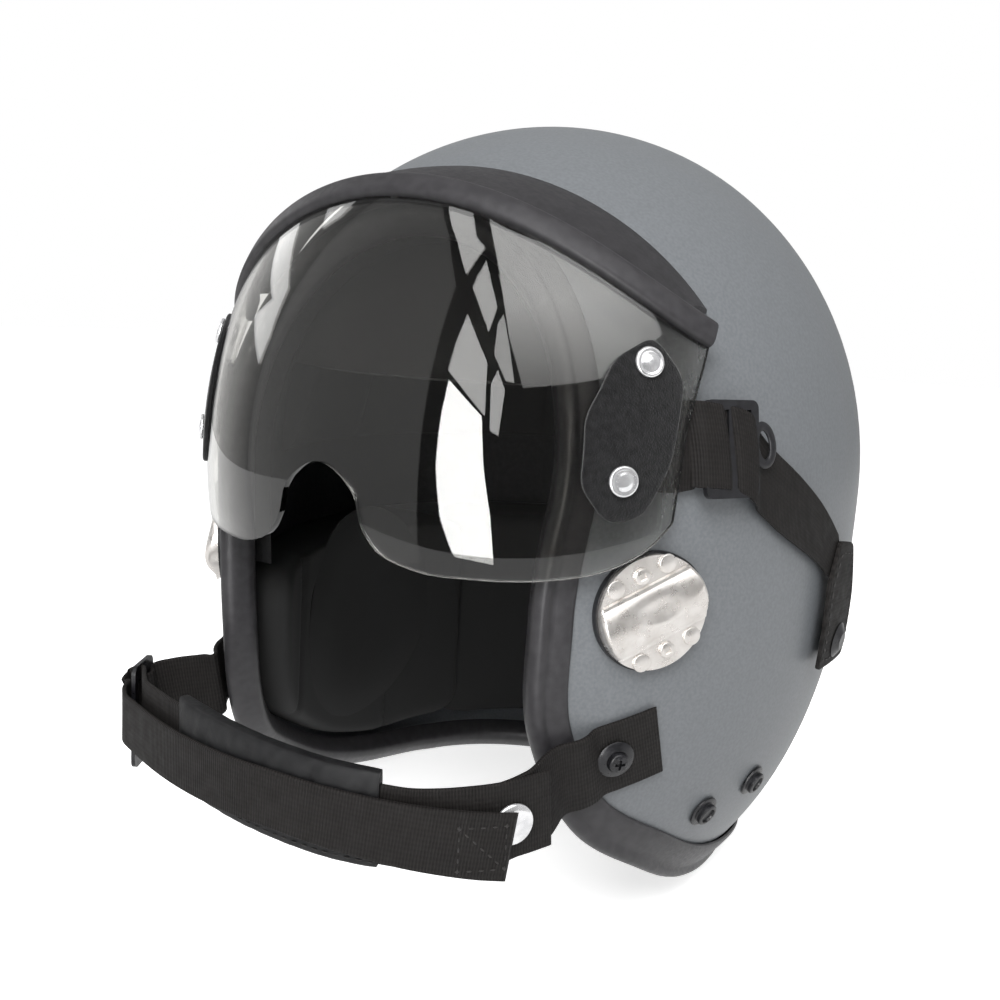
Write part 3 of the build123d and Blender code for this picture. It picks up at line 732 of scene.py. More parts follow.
# Nylon webbing: cross ribs a millimetre apart over fine lengthways threads, with painted shade between them
WEBBING = Woven(
    "nylon_webbing", "#080707", "#242221", 9.0, 1.0, 0.18, (0.6, 0.78),
    specular=0.22, rib=0.95, thread=1.6, rib_share=0.72,
)
# Ribbed knit over the pads: ribs 1.7 mm apart, drawn a little coarser so that they show, with painted shade
# between them
KNIT = Woven(
    "ribbed_knit", "#0b0a0a", "#353231", 14.0, 1.0, 0.3, (0.8, 0.95),
    sheen=0.1, specular=0.2, rib=1.7, thread=1.1, rib_share=0.8,
)


@dataclass(frozen=True)
class ClearLens:
    """Moulded polycarbonate: clear with a faint warm grey, and haze scratched into its wings."""

    name: str = "clear_polycarbonate"
    colour: str = "#efeeea"
    ior: float = 1.585
    haze_start: float = 83.0
    haze_end: float = 93.0
    haze: float = 0.35
    scratch: float = 1.6
    polish: float = 0.012

    def material(self) -> bpy.types.Material:
        """The lens's material, made once."""
        known = bpy.data.materials.get(self.name)
        if known:
            return known
        made = bpy.data.materials.new(self.name)
        made.use_nodes = True
        tree = made.node_tree
        shader = tree.nodes["Principled BSDF"]
        where = add(tree, "ShaderNodeTexCoord").outputs["Object"]
        apart = add(tree, "ShaderNodeSeparateXYZ", {"Vector": where})
        side = add(tree, "ShaderNodeMath", {0: apart.outputs["X"]}, operation="ABSOLUTE")
        reach = {"From Min": self.haze_start * MM, "From Max": self.haze_end * MM}
        wing = add(tree, "ShaderNodeMapRange", {"Value": side.outputs[0], **reach})
        # Scratches run down the wing: noise squeezed across and drawn out upwards
        lie = add(tree, "ShaderNodeMapping", {"Vector": where, "Scale": (1.0, 0.5, 0.12)})
        scratch = noise(tree, lie.outputs["Vector"], self.scratch, 5.0)
        scratch.inputs["Roughness"].default_value = 0.7
        limits = {"From Min": 0.48, "From Max": 0.62, "To Min": 0.0, "To Max": self.haze}
        band = add(tree, "ShaderNodeMapRange", {"Value": scratch.outputs["Fac"], **limits})
        factors = {0: band.outputs["Result"], 1: wing.outputs["Result"]}
        haze = add(tree, "ShaderNodeMath", factors, operation="MULTIPLY")
        rough = add(tree, "ShaderNodeMath", {0: haze.outputs[0], 1: self.polish}, operation="ADD")
        tree.links.new(rough.outputs[0], shader.inputs["Roughness"])
        shader.inputs["Base Color"].default_value = linear(self.colour)
        shader.inputs["IOR"].default_value = self.ior
        shader.inputs["Transmission Weight"].default_value = 1.0
        return made


LENS_PLASTIC = ClearLens()


def dress(
    piece: Piece, finish: Finish | ClearLens, body: Body | None, slot: str, *nodes: str
) -> Piece:
    """Gives a piece its finish and body, and hides the solids that it stands for.

    Args:
        piece: the new piece.
        finish: its finish.
        body: the body that it rides on, or None for one that spans a joint and isn't attached.
        slot: not used.
        nodes: solids that it replaces.

    Returns:
        The same piece.
    """
    piece.data.materials.clear()
    piece.data.materials.append(finish.material())
    if body:
        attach(piece, body.value)
    if nodes:
        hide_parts(*nodes)
    log.info("made %s", piece.name)
    return piece


def turned(name: str, seat: Seat, profile: list[tuple[float, float]], count: int = 40) -> Piece:
    """Round piece: a profile of radii and heights turned about the seat's z.

    Args:
        name: the piece's name.
        seat: where it stands.
        profile: radii and heights, from the bottom up.
        count: points round it.

    Returns:
        The new object.
    """
    radius, height = np.array(profile, float).T[:, :, None]
    angle = np.linspace(0, TURN, count, endpoint=False)[None, :]
    points = seat.at(radius * np.cos(angle), radius * np.sin(angle), height + 0 * angle)
    return grid_piece(name, points, close_columns=True)


def dome_profile(radius: float, low: float, high: float, corner: float) -> list[tuple[float, float]]:
    """Profile of a low domed head with a rounded rim: quarter circle at the rim, then a flat arc."""
    turn = np.linspace(0, math.pi / 2, 6)
    rim = [(radius - corner + corner * math.cos(a), high - corner * 1.6 + corner * math.sin(a)) for a in turn]
    top = [((radius - corner) * s, high - corner * 0.6 * s**2) for s in (0.8, 0.6, 0.4, 0.2, 0.0)]
    return [(0.0, low), (radius, low), *rim, *top]


def joined(name: str, parts: list[Piece]) -> Piece:
    """One object from several, under a name."""
    with bpy.context.temp_override(active_object=parts[0], selected_editable_objects=parts, object=parts[0]):
        bpy.ops.object.join()
    parts[0].name = name
    return parts[0]


# Shell, trim and pads


@dataclass(frozen=True)
class ShellAndTrim:
    """Painted shell and the rubber trim round its edge.

    The band widens along the bottom over twice blend_reach of the edge's points.
    """

    blend_reach: int = 7
    wall: float = 3.0
    band: tuple[float, float] = (8.0, 12.5)
    lip: float = 5.0
    ridge: float = 3.6
    depth: float = 8.6

    def build_shell(self) -> None:
        """Outer shell: the form's dome out to the edge, given its wall by Solidify."""
        rim, _ = SHELL.edge_loop(360)
        piece = grid_piece("painted_shell", SHELL.dome(rim, 60), close_columns=True)
        centre = Vector(SHELL.centre * MM)
        if sum((face.center - centre).dot(face.normal) for face in piece.data.polygons) < 0:
            piece.data.flip_normals()
        solid = piece.modifiers.new("wall", "SOLIDIFY")
        solid.thickness = self.wall * MM
        solid.offset = -1.0
        dress(piece, SHELL_PAINT, Body.ROOT, "shell_paint", "outer_shell")

    def section(self, band: Array) -> Array:
        """Trim profiles round the edge: outer band, rounded ridge, inner face and the shell's slot.

        Args:
            band: the outer band's width at each point of the path.

        Returns:
            For each path point, the profile as distances past the edge and out from the shell.
        """
        lip, ridge, depth = self.lip, self.ridge, self.depth
        shape = [
            (-1.4, 1.95), (-0.8, 2.15), (-0.2, 2.8), (0.6, ridge - 0.2), (1.7, ridge),
            (2.8, ridge - 0.35), (3.9, ridge - 1.2), (4.7, ridge - 2.5), (lip, ridge - 4.2),
            (lip, -depth + 3.6), (lip - 0.5, -depth + 1.8), (lip - 1.5, -depth + 0.6),
            (lip - 3, -depth), (-3.6, -depth), (-4.6, -depth + 0.5), (-5.0, -depth + 1.6),
            (-5.0, -self.wall - 0.1), (0.3, -self.wall - 0.1), (0.3, 0.1),
        ]
        fixed = np.broadcast_to(np.array(shape), (len(band), len(shape), 2))
        outer = [(1.0, 0.1), (1.0, 0.8), (0.96, 1.3), (0.88, 1.7), (0.6, 2.0), (0.3, 2.0)]
        moving = [np.stack([-band * share, np.full_like(band, rise)], axis=1) for share, rise in outer]
        return np.concatenate([np.stack(moving, axis=1), fixed], axis=1)

    def build_trim(self) -> None:
        """Trim: its section carried round the whole edge, wider along the bottom."""
        rim, level_share = SHELL.edge_loop(420)
        front, low = self.band
        band = front + (low - front) * level_share
        reach = self.blend_reach
        kernel = np.ones(2 * reach + 1) / (2 * reach + 1)
        band = np.convolve(np.concatenate([band[-reach:], band, band[:reach]]), kernel, mode="valid")
        out = SHELL.normals(rim)
        profile = self.section(band)
        if (np.cross(tangents_of(rim, True), out) @ unit(np.array(SHELL.pole))).mean() > 0:
            profile = profile * [-1, 1]
        points, uv = sweep_grid(rim, out, profile, True)
        points[..., 2] = np.maximum(points[..., 2], 0.0)
        piece = grid_piece("rubber_trim", points, uv, close_rows=True, close_columns=True)
        dress(piece, TRIM_RUBBER, Body.ROOT, "trim_rubber", "edge_trim")

    def build(self) -> None:
        """Both pieces."""
        self.build_shell()
        self.build_trim()


@dataclass(frozen=True)
class Pads:
    """Knit covered pads between the shell and the head."""

    wall: float = 3.6
    foam: float = 12.3
    comfort: float = 11.0
    head: tuple[float, float] = (77.0, 104.0)
    head_station: float = -12.0
    floor: float = 18.0
    top: float = 117.0
    rear_split: float = 54.0
    crown_floor: float = 118.5
    crown_front: float = -51.0
    brow_floor: float = 196.5
    brow_half: float = 61.5
    setback: float = 9.8
    ear: tuple[float, float] = (-14.0, 80.0)
    ear_hole: tuple[float, float] = (34.0, 37.0)
    ear_lap: float = 10.0
    ear_cup: tuple[float, float] = (33.0, 36.0)
    seal_width: float = 7.5
    seal_span: tuple[float, float] = (75.2, 82.0)
    seal_squareness: float = 0.6
    cover_flat: tuple[float, float] = (0.088, 0.094)
    cover_area: float = 0.0065

    def edge_distance(self, station: Array, level: Array) -> Array:
        """Side view distance to the shell's edge, below 0 outside it.

        Args:
            station: stations of the places.
            level: their levels.

        Returns:
            One distance for each place.
        """
        edge = smooth_line(SHELL.edge, 300)
        edge = np.vstack([edge, [[100.0, edge[-1, 1]]]])
        edge = even_run(edge, 500)
        away = np.stack([station, level], axis=-1)[..., None, :] - edge
        span = np.linalg.norm(away, axis=-1)
        near = span.argmin(axis=-1)
        way = np.gradient(edge, axis=0)[near]
        offset = np.take_along_axis(away, near[..., None, None], axis=-2)[..., 0, :]
        side = way[..., 0] * offset[..., 1] - way[..., 1] * offset[..., 0]
        return span.min(axis=-1) * np.sign(side)

    def head_half(self, station: Array) -> Array:
        """Half width of the head's room: an ellipse in plan."""
        half, length = self.head
        return half * np.sqrt(np.clip(1 - ((station - self.head_station) / length) ** 2, 0, 1))

    def ear_pad(self, name: str, side: float) -> Piece:
        """Pad from the face opening to the nape with an oval hole over the ear.

        Rows go round the hole. Columns go from the hole to the rim over the inner face, which falls
        to the shell at both as a sixth power curve, and back along the shell.

        Args:
            name: the piece's name.
            side: 1 for the left side, -1 for the right.

        Returns:
            The new object.
        """
        turn = np.linspace(0, TURN, 200, endpoint=False)
        station, level = self.ear
        way = np.stack([np.cos(turn), np.sin(turn)], axis=1)
        hole = np.array([station, level]) + way * np.array(self.ear_hole)
        near = np.full(len(turn), 36.0)
        far = np.full(len(turn), 160.0)
        for _ in range(HALVINGS):
            middle = (near + far) / 2
            spot = np.array(self.ear) + way * middle[:, None]
            fits = (
                (self.edge_distance(spot[:, 0], spot[:, 1]) > self.setback)
                & (spot[:, 1] > self.floor)
                & (spot[:, 1] < self.top)
                & (spot[:, 0] < self.rear_split)
            )
            near = np.where(fits, middle, near)
            far = np.where(fits, far, middle)
        kernel = np.hanning(11) / np.hanning(11).sum()
        reach = np.convolve(np.concatenate([near[-5:], near, near[:5]]), kernel, mode="valid") - 0.6
        rim = np.array(self.ear) + way * reach[:, None]
        share = (1 - np.cos(np.linspace(0, math.pi, 44))) / 2
        spots = hole[:, None] + (rim - hole)[:, None] * share[None, :, None]
        outer = SHELL.width(spots[..., 0], spots[..., 1]) - self.wall - 0.4
        inner = np.minimum(self.head_half(spots[..., 0]), outer - 1)
        swell = (1 - np.abs(2 * share - 1) ** 7) ** (1 / 2.2)
        seam = np.exp(-(((spots[..., 0] - 8.0) / 2.2) ** 2)) * (spots[..., 1] < 42)
        front_seam = np.exp(-(((spots[..., 0] + 66.0) / 2.0) ** 2))
        depth = (outer - inner) * swell[None, :]
        bulge = 1.5 - 2.0 * np.maximum(seam, front_seam)
        face = outer - depth - bulge * swell[None, :] ** 2
        front_grid = np.stack([face, spots[..., 0], spots[..., 1]], axis=-1)
        back_share = slice(-2, 0, -3)
        back = np.stack([outer, spots[..., 0], spots[..., 1]], axis=-1)[:, back_share]
        points = np.concatenate([front_grid, back], axis=1) * [side, 1, 1]
        uv = np.concatenate([spots, spots[:, back_share]], axis=1)[..., ::-1]
        return grid_piece(name, points, uv, close_rows=True, close_columns=True)

    def nape_pad(self) -> Piece:
        """Roll round the back of the head: rows go round it and columns go round its section."""
        turn = np.linspace(math.radians(40.5), math.radians(139.5), 120)
        ends = 1 - np.abs(2 * np.linspace(0, 1, len(turn)) - 1) ** 14
        ends = np.clip(ends, 0, 1) ** (1 / 2.5)
        section = np.linspace(0, TURN, 56, endpoint=False)
        corner = 0.22
        up = np.sign(np.sin(section)) * np.abs(np.sin(section)) ** corner
        deep = np.sign(np.cos(section)) * np.abs(np.cos(section)) ** corner
        middle = (self.floor + self.top) / 2
        level = middle + (self.top - middle) * up[None, :] * (0.9 + 0.1 * ends[:, None])
        way = np.stack([np.cos(turn), np.sin(turn)], axis=1)
        half, length = self.head
        inner = 1 / np.sqrt((way[:, 0] / half) ** 2 + (way[:, 1] / length) ** 2)
        near = np.zeros(level.shape)
        far = np.full(level.shape, 200.0)
        for _ in range(HALVINGS):
            reach = (near + far) / 2
            spot = np.stack([way[:, :1] * reach, self.head_station + way[:, 1:] * reach, level], axis=-1)
            within = SHELL.inside(spot) < 0
            near = np.where(within, reach, near)
            far = np.where(within, far, reach)
        outer = near - self.wall - 1.0
        inner = np.minimum(inner[:, None] + 0 * outer, outer - 2)
        core = (outer + inner) / 2
        channel = 1.5 * np.exp(-(((level - 66) / 2.4) ** 2)) * (deep[None, :] < -0.9)
        reach = core + (outer - inner) / 2 * deep[None, :] * ends[:, None] + channel
        points = np.stack([way[:, :1] * reach, self.head_station + way[:, 1:] * reach, level], axis=-1)
        run = turn[:, None] * 90 + 0 * level
        uv = np.stack([level, run], axis=-1)
        return grid_piece("nape_pad_knit", points, uv, close_columns=True, caps=True)

    def crown_pad(self) -> Piece:
        """Cap pad: rings from the crown over the lower face to the rim, and back over the upper face.

        A quilted channel runs down every sixth part of it.
        """
        turn = np.linspace(0, TURN, 240, endpoint=False)
        start = -self.wall - self.foam
        low = np.zeros(len(turn))
        high = np.full(len(turn), math.pi / 2)
        for _ in range(HALVINGS):
            angle = (low + high) / 2
            spot = SHELL.cast(from_crown(angle, turn))
            spot = spot + SHELL.normals(spot) * (start - self.comfort / 2)
            fits = (
                (spot[:, 2] > self.crown_floor + 0.5)
                & (spot[:, 1] > self.crown_front + 0.5)
                & (self.edge_distance(spot[:, 1], spot[:, 2]) > self.setback)
            )
            low = np.where(fits, angle, low)
            high = np.where(fits, high, angle)
        share = np.sin(np.linspace(0, math.pi / 2, 50))
        angle = low[None, :] * share[:, None]
        base = SHELL.cast(from_crown(angle, turn))
        out = SHELL.normals(base)
        round_off = (1 - share**9)[:, None] ** (1 / 2.2)
        radius = angle * 100
        folds = np.abs((turn * 6 / TURN + 0.5) % 1 - 0.5) * TURN / 6
        channel = 2.6 * np.exp(-((folds[None, :] * radius / 3.0) ** 2)) * (radius > 14)
        ring = 2.6 * np.exp(-(((radius - 34) / 3.0) ** 2))
        depth = (self.comfort - np.maximum(channel, ring)) * round_off
        lower = base + out * (start - depth)[..., None]
        upper = base + out * start
        points = np.concatenate([lower, upper[-2::-4], upper[:1]])
        flat = np.stack([radius * np.cos(turn), radius * np.sin(turn)], axis=-1)
        uv = np.concatenate([flat, flat[-2::-4], flat[:1]])
        return grid_piece("crown_pad_knit", points, uv, close_columns=True)

    def brow_pad(self) -> Piece:
        """Pad behind the brow: a pillow whose thickness falls to 0 at its border."""
        across = np.linspace(-1, 1, 70)[:, None]
        up = np.linspace(-1, 1, 36)[None, :]
        top = 249.0 - 11.0 * across**2
        level = self.brow_floor + (top - self.brow_floor) * (up + 1) / 2
        x = self.brow_half * across * np.sqrt(1 - 0.12 * np.clip(up, 0, 1) ** 2)
        rise = (level - SHELL.level) / SHELL.rise
        room = np.clip(1 - (x / SHELL.half_width) ** 2 - rise**2, 0.02, 1)
        base = np.stack([x + 0 * level, SHELL.station - SHELL.front * np.sqrt(room), level], axis=-1)
        out = SHELL.normals(base)
        start = -self.wall - self.foam
        border = np.clip((1 - across**6) * (1 - up**6), 0, 1) ** (1 / 2.4)
        seam = 2.2 * np.exp(-((across * self.brow_half / 2.5) ** 2))
        lower = base + out * (start - (self.comfort - seam) * border)[..., None]
        upper = base + out * start
        rows, columns = level.shape
        faces = grid_faces(rows, columns, False, False)
        both = np.concatenate([faces, faces[:, ::-1] + rows * columns])
        uv = np.stack([level, x + 0 * level], axis=-1).reshape(-1, 2)
        points = np.concatenate([lower.reshape(-1, 3), upper.reshape(-1, 3)])
        return make_piece("brow_pad_knit", points, both.tolist(), np.concatenate([uv, uv]))

    def ear_seal(self, name: str, side: float) -> Piece:
        """Soft ring on the ear cup's mouth: a rounded square section carried round an oval.

        Args:
            name: the piece's name.
            side: 1 for the left side, -1 for the right.

        Returns:
            The new object.
        """
        turn = np.linspace(0, TURN, 120, endpoint=False)
        start, end = self.seal_span
        half = self.seal_width / 2
        station, level = self.ear
        long_half, high_half = (size - half for size in self.ear_cup)
        middle = np.full(len(turn), (start + end) / 2)
        along, up = station + long_half * np.cos(turn), level + high_half * np.sin(turn)
        path = np.stack([middle, along, up], axis=1)
        out = np.broadcast_to([1.0, 0.0, 0.0], path.shape)
        section = np.linspace(0, TURN, 28, endpoint=False)
        square = squared(section, self.seal_squareness) * [half, (end - start) / 2]
        return swept(name, path * [side, 1, 1], out * [side, 1, 1], square, closed=True)

    def ear_cover(self, name: str, side: float) -> Piece:
        """Thin knit stretched over an ear cup and the pad's rim round it, with a shallow dip over the cup.

        Args:
            name: the piece's name.
            side: 1 for the left side, -1 for the right.

        Returns:
            The new object.
        """
        turn = np.linspace(0, TURN, 120, endpoint=False)[None, :]
        share = np.concatenate([np.linspace(0, 1, 24), np.linspace(1, 0, 24)])[:, None]
        station, level = self.ear
        across, up = self.ear_hole
        y = station + (across + self.ear_lap) * share * np.cos(turn)
        z = level + (up + self.ear_lap) * share * np.sin(turn)
        dip = 2.4 * (1 - np.clip(share / 0.8, 0, 1) ** 2) ** 2
        lift = np.where(np.arange(48) < 24, 0.0, 0.9)[:, None]
        x = self.head_half(y) - 2.7 + dip + lift + 1.4 * share**8
        points = np.stack([x, y, z], axis=-1) * [side, 1, 1]
        return grid_piece(name, points, np.stack([z, y], axis=-1), close_columns=True)

    def build(self) -> None:
        """Every pad, cover and seal."""
        for name, side in SIDES.items():
            pad = self.ear_pad(f"ear_pad_knit_{name}", side)
            dress(pad, KNIT, Body.ROOT, "ribbed_knit", f"ear_pad_{name}")
            cover = dress(self.ear_cover(f"ear_cover_knit_{name}", side), KNIT, Body.ROOT, "ribbed_knit")
            seal = self.ear_seal(f"ear_seal_ring_{name}", side)
            dress(seal, LEATHER, Body.ROOT, "ribbed_knit", f"ear_seal_{name}")
        inner = {"nape_pad": self.nape_pad, "crown_pad": self.crown_pad, "brow_pad": self.brow_pad}
        for node, make in inner.items():
            dress(make(), KNIT, Body.ROOT, "ribbed_knit", node)


# Pieces shared by the sub-assemblies


def soft_outline(knots: object, radius: float, count: int) -> Array:
    """Straight-sided ring whose corners are quadratic curves that start a radius before each corner.

    Args:
        knots: the corners.
        radius: distance from a corner to its curve's ends.
        count: number of points wanted.

    Returns:
        Even points round the ring.
    """
    knots = np.asarray(knots, float)
    before = knots + unit(np.roll(knots, 1, axis=0) - knots) * radius
    after = knots + unit(np.roll(knots, -1, axis=0) - knots) * radius
    share = np.linspace(0, 1, 7)[None, :, None]
    bends = (1 - share) ** 2 * before[:, None] + 2 * share * (1 - share) * knots[:, None]
    ring = (bends + share**2 * after[:, None]).reshape(-1, knots.shape[1])
    return even_run(np.vstack([ring, ring[:1]]), count + 1)[:-1]


def plate_on(
    name: str, wall: Wall, ring: Array, low: float, high: float, rounding: float, side: float
) -> Piece:
    """Plate that lies on a wall inside a side view outline, with a rounded upper border.

    Rings shrink from the outline to its middle. The upper side's lift falls by a quarter circle at
    the border, and the lower side keeps one lift.

    Args:
        name: the piece's name.
        wall: the surface that it lies on.
        ring: stations and levels round the outline.
        low: lift of its underside.
        high: lift of its top.
        rounding: radius of the upper border.
        side: 1 for the left side, -1 for the right.

    Returns:
        The new object.
    """
    centre = ring.mean(axis=0)
    size = float(np.linalg.norm(ring - centre, axis=1).mean())
    edge = rounding / size
    rim = 1 - edge * (1 - np.sin(np.linspace(0, math.pi / 2, 5)))[1:]
    share = np.concatenate([np.linspace(0, 1 - edge, 12), rim])
    over = np.clip((share - 1) / edge + 1, 0, 1)
    top = high - rounding * (1 - np.sqrt(1 - over**2))
    spots = centre + (ring - centre)[None] * share[:, None, None]
    upper = wall.on(spots[..., 0], spots[..., 1], top[:, None] + 0 * spots[..., 0])
    lower = wall.on(spots[::-1, :, 0], spots[::-1, :, 1], np.full(spots.shape[:2], low))
    points = np.concatenate([upper, lower]) * [side, 1, 1]
    return grid_piece(name, points, np.concatenate([spots, spots[::-1]]), close_columns=True)


def ribbon_piece(
    name: str, frames: Array, width: float | Array, thickness: float, steps: int, mirror: float = 1.0
) -> Piece:
    """Webbing along a smooth line of centres and outward directions.

    Across the webbing is the tangent crossed with outward.

    Args:
        name: the piece's name.
        frames: rows of a centre and an outward direction.
        width: webbing width, or one width per row.
        thickness: webbing thickness.
        steps: points along it.
        mirror: -1 to make it on the right side from the left side's frames.

    Returns:
        The new object.
    """
    weight = 6.0
    widths = np.broadcast_to(np.asarray(width, float), (len(frames),))[:, None]
    rows = np.hstack([np.asarray(frames, float), widths])
    line = smooth_line(rows * ([1.0] * 3 + [weight] * 3 + [1.0]), steps)
    centre, out, widths = line[:, :3], unit(line[:, 3:6]), line[:, 6]
    along = tangents_of(centre, False)
    out = unit(out - along * (out * along).sum(axis=1, keepdims=True))
    across = np.cross(along, out)
    shift = (spread(18, float(widths.mean()), thickness / 2) - 0.5)[None, :] * widths[:, None]
    middle = centre[:, None] + across[:, None] * shift[..., None]
    run = np.concatenate([[0.0], np.cumsum(np.linalg.norm(np.diff(centre, axis=0), axis=1))])
    uv = np.stack(np.broadcast_arrays(run[:, None], shift), axis=-1)
    flip = np.array([mirror, 1.0, 1.0])
    outwards = np.broadcast_to(out[:, None] * flip, middle.shape)
    return slab(name, middle * flip, outwards, thickness, thickness / 2, uv)


def stitches(
    name: str, path: Array, out: Array, pitch: float = 3.4, length: float = 2.3, thick: float = 0.55
) -> Piece:
    """Row of sewn stitches: short spindles along a path, whose radius is a half sine.

    Args:
        name: the piece's name.
        path: points along the seam.
        out: outward directions at them.
        pitch: from one stitch to the next.
        length: a stitch's length.
        thick: its thickness.

    Returns:
        One object with every stitch.
    """
    total = float(np.linalg.norm(np.diff(path, axis=0), axis=1).sum())
    count = max(2, int(total / pitch))
    both = even_run(np.hstack([path, out * 1e-3]), count)
    centre, up = both[:, :3], unit(both[:, 3:])
    along = tangents_of(centre, False)
    side = unit(np.cross(along, up))
    rings, corners = 5, 6
    place = np.linspace(-0.5, 0.5, rings)
    angle = np.linspace(0, TURN, corners, endpoint=False)
    girth = np.cos(place * math.pi) ** 0.5 * thick / 2
    points = (
        centre[:, None, None]
        + along[:, None, None] * (place * length)[None, :, None, None]
        + side[:, None, None] * (girth[:, None] * np.cos(angle))[None, ..., None]
        + up[:, None, None] * (girth[:, None] * np.sin(angle) + thick / 5)[None, ..., None]
    )
    quads = grid_faces(rings, corners, False, True)
    faces = (quads[None] + (np.arange(count) * rings * corners)[:, None, None]).reshape(-1, 4)
    flat = points.reshape(-1, 3)
    return make_piece(name, flat, faces.tolist(), np.zeros((len(flat), 2)))


def recessed_head(
    name: str, seat: Seat, radius: float, low: float, high: float, arm: tuple[float, float], depth: float
) -> Piece:
    """Screw head with a recess: rings from its rim over the dome to the recess and down into it.

    The recess outline is a plus whose radius is its half length over the cosine near its arms and
    its half width over the sine between them. Equal sizes make it a square.

    Args:
        name: the piece's name.
        seat: where the screw stands.
        radius: head radius.
        low: height of the head's underside.
        high: height of its top.
        arm: half length and half width of the plus.
        depth: depth of the recess.

    Returns:
        The new object.
    """
    count = 96
    angle = np.linspace(0, TURN, count, endpoint=False)
    fold = np.abs((angle + TURN / 8) % (TURN / 4) - TURN / 8)
    long_half, wide_half = arm
    plus = np.minimum(long_half / np.cos(fold), wide_half / np.maximum(np.sin(fold), 1e-6))
    corner = (high - low) * 0.45
    turn = np.linspace(0, math.pi / 2, 6)
    start, base = radius - corner, high - corner * 1.35
    rim = [(start + corner * math.cos(a), base + corner * math.sin(a)) for a in turn]
    rings = [(np.full(count, r), h) for r, h in ((0.0, low), (radius, low), *rim)]
    rings += [(plus * 1.12, high), (plus, high - 0.08), (plus * 0.94, high - depth)]
    rings += [(np.zeros(count), high - depth * 1.05)]
    reach = np.stack([ring for ring, _ in rings])
    height = np.array([h for _, h in rings])[:, None] + 0 * reach
    points = seat.at(reach * np.cos(angle), reach * np.sin(angle), height)
    return grid_piece(name, points, close_columns=True)


# Thread of the sewn seams: waxed, a shade lighter than the webbing
THREAD = Finish("waxed_thread", "#1b1a1a", "#302e2d", 2.0, 0.4, 0.03, (0.5, 0.65))


# Visor


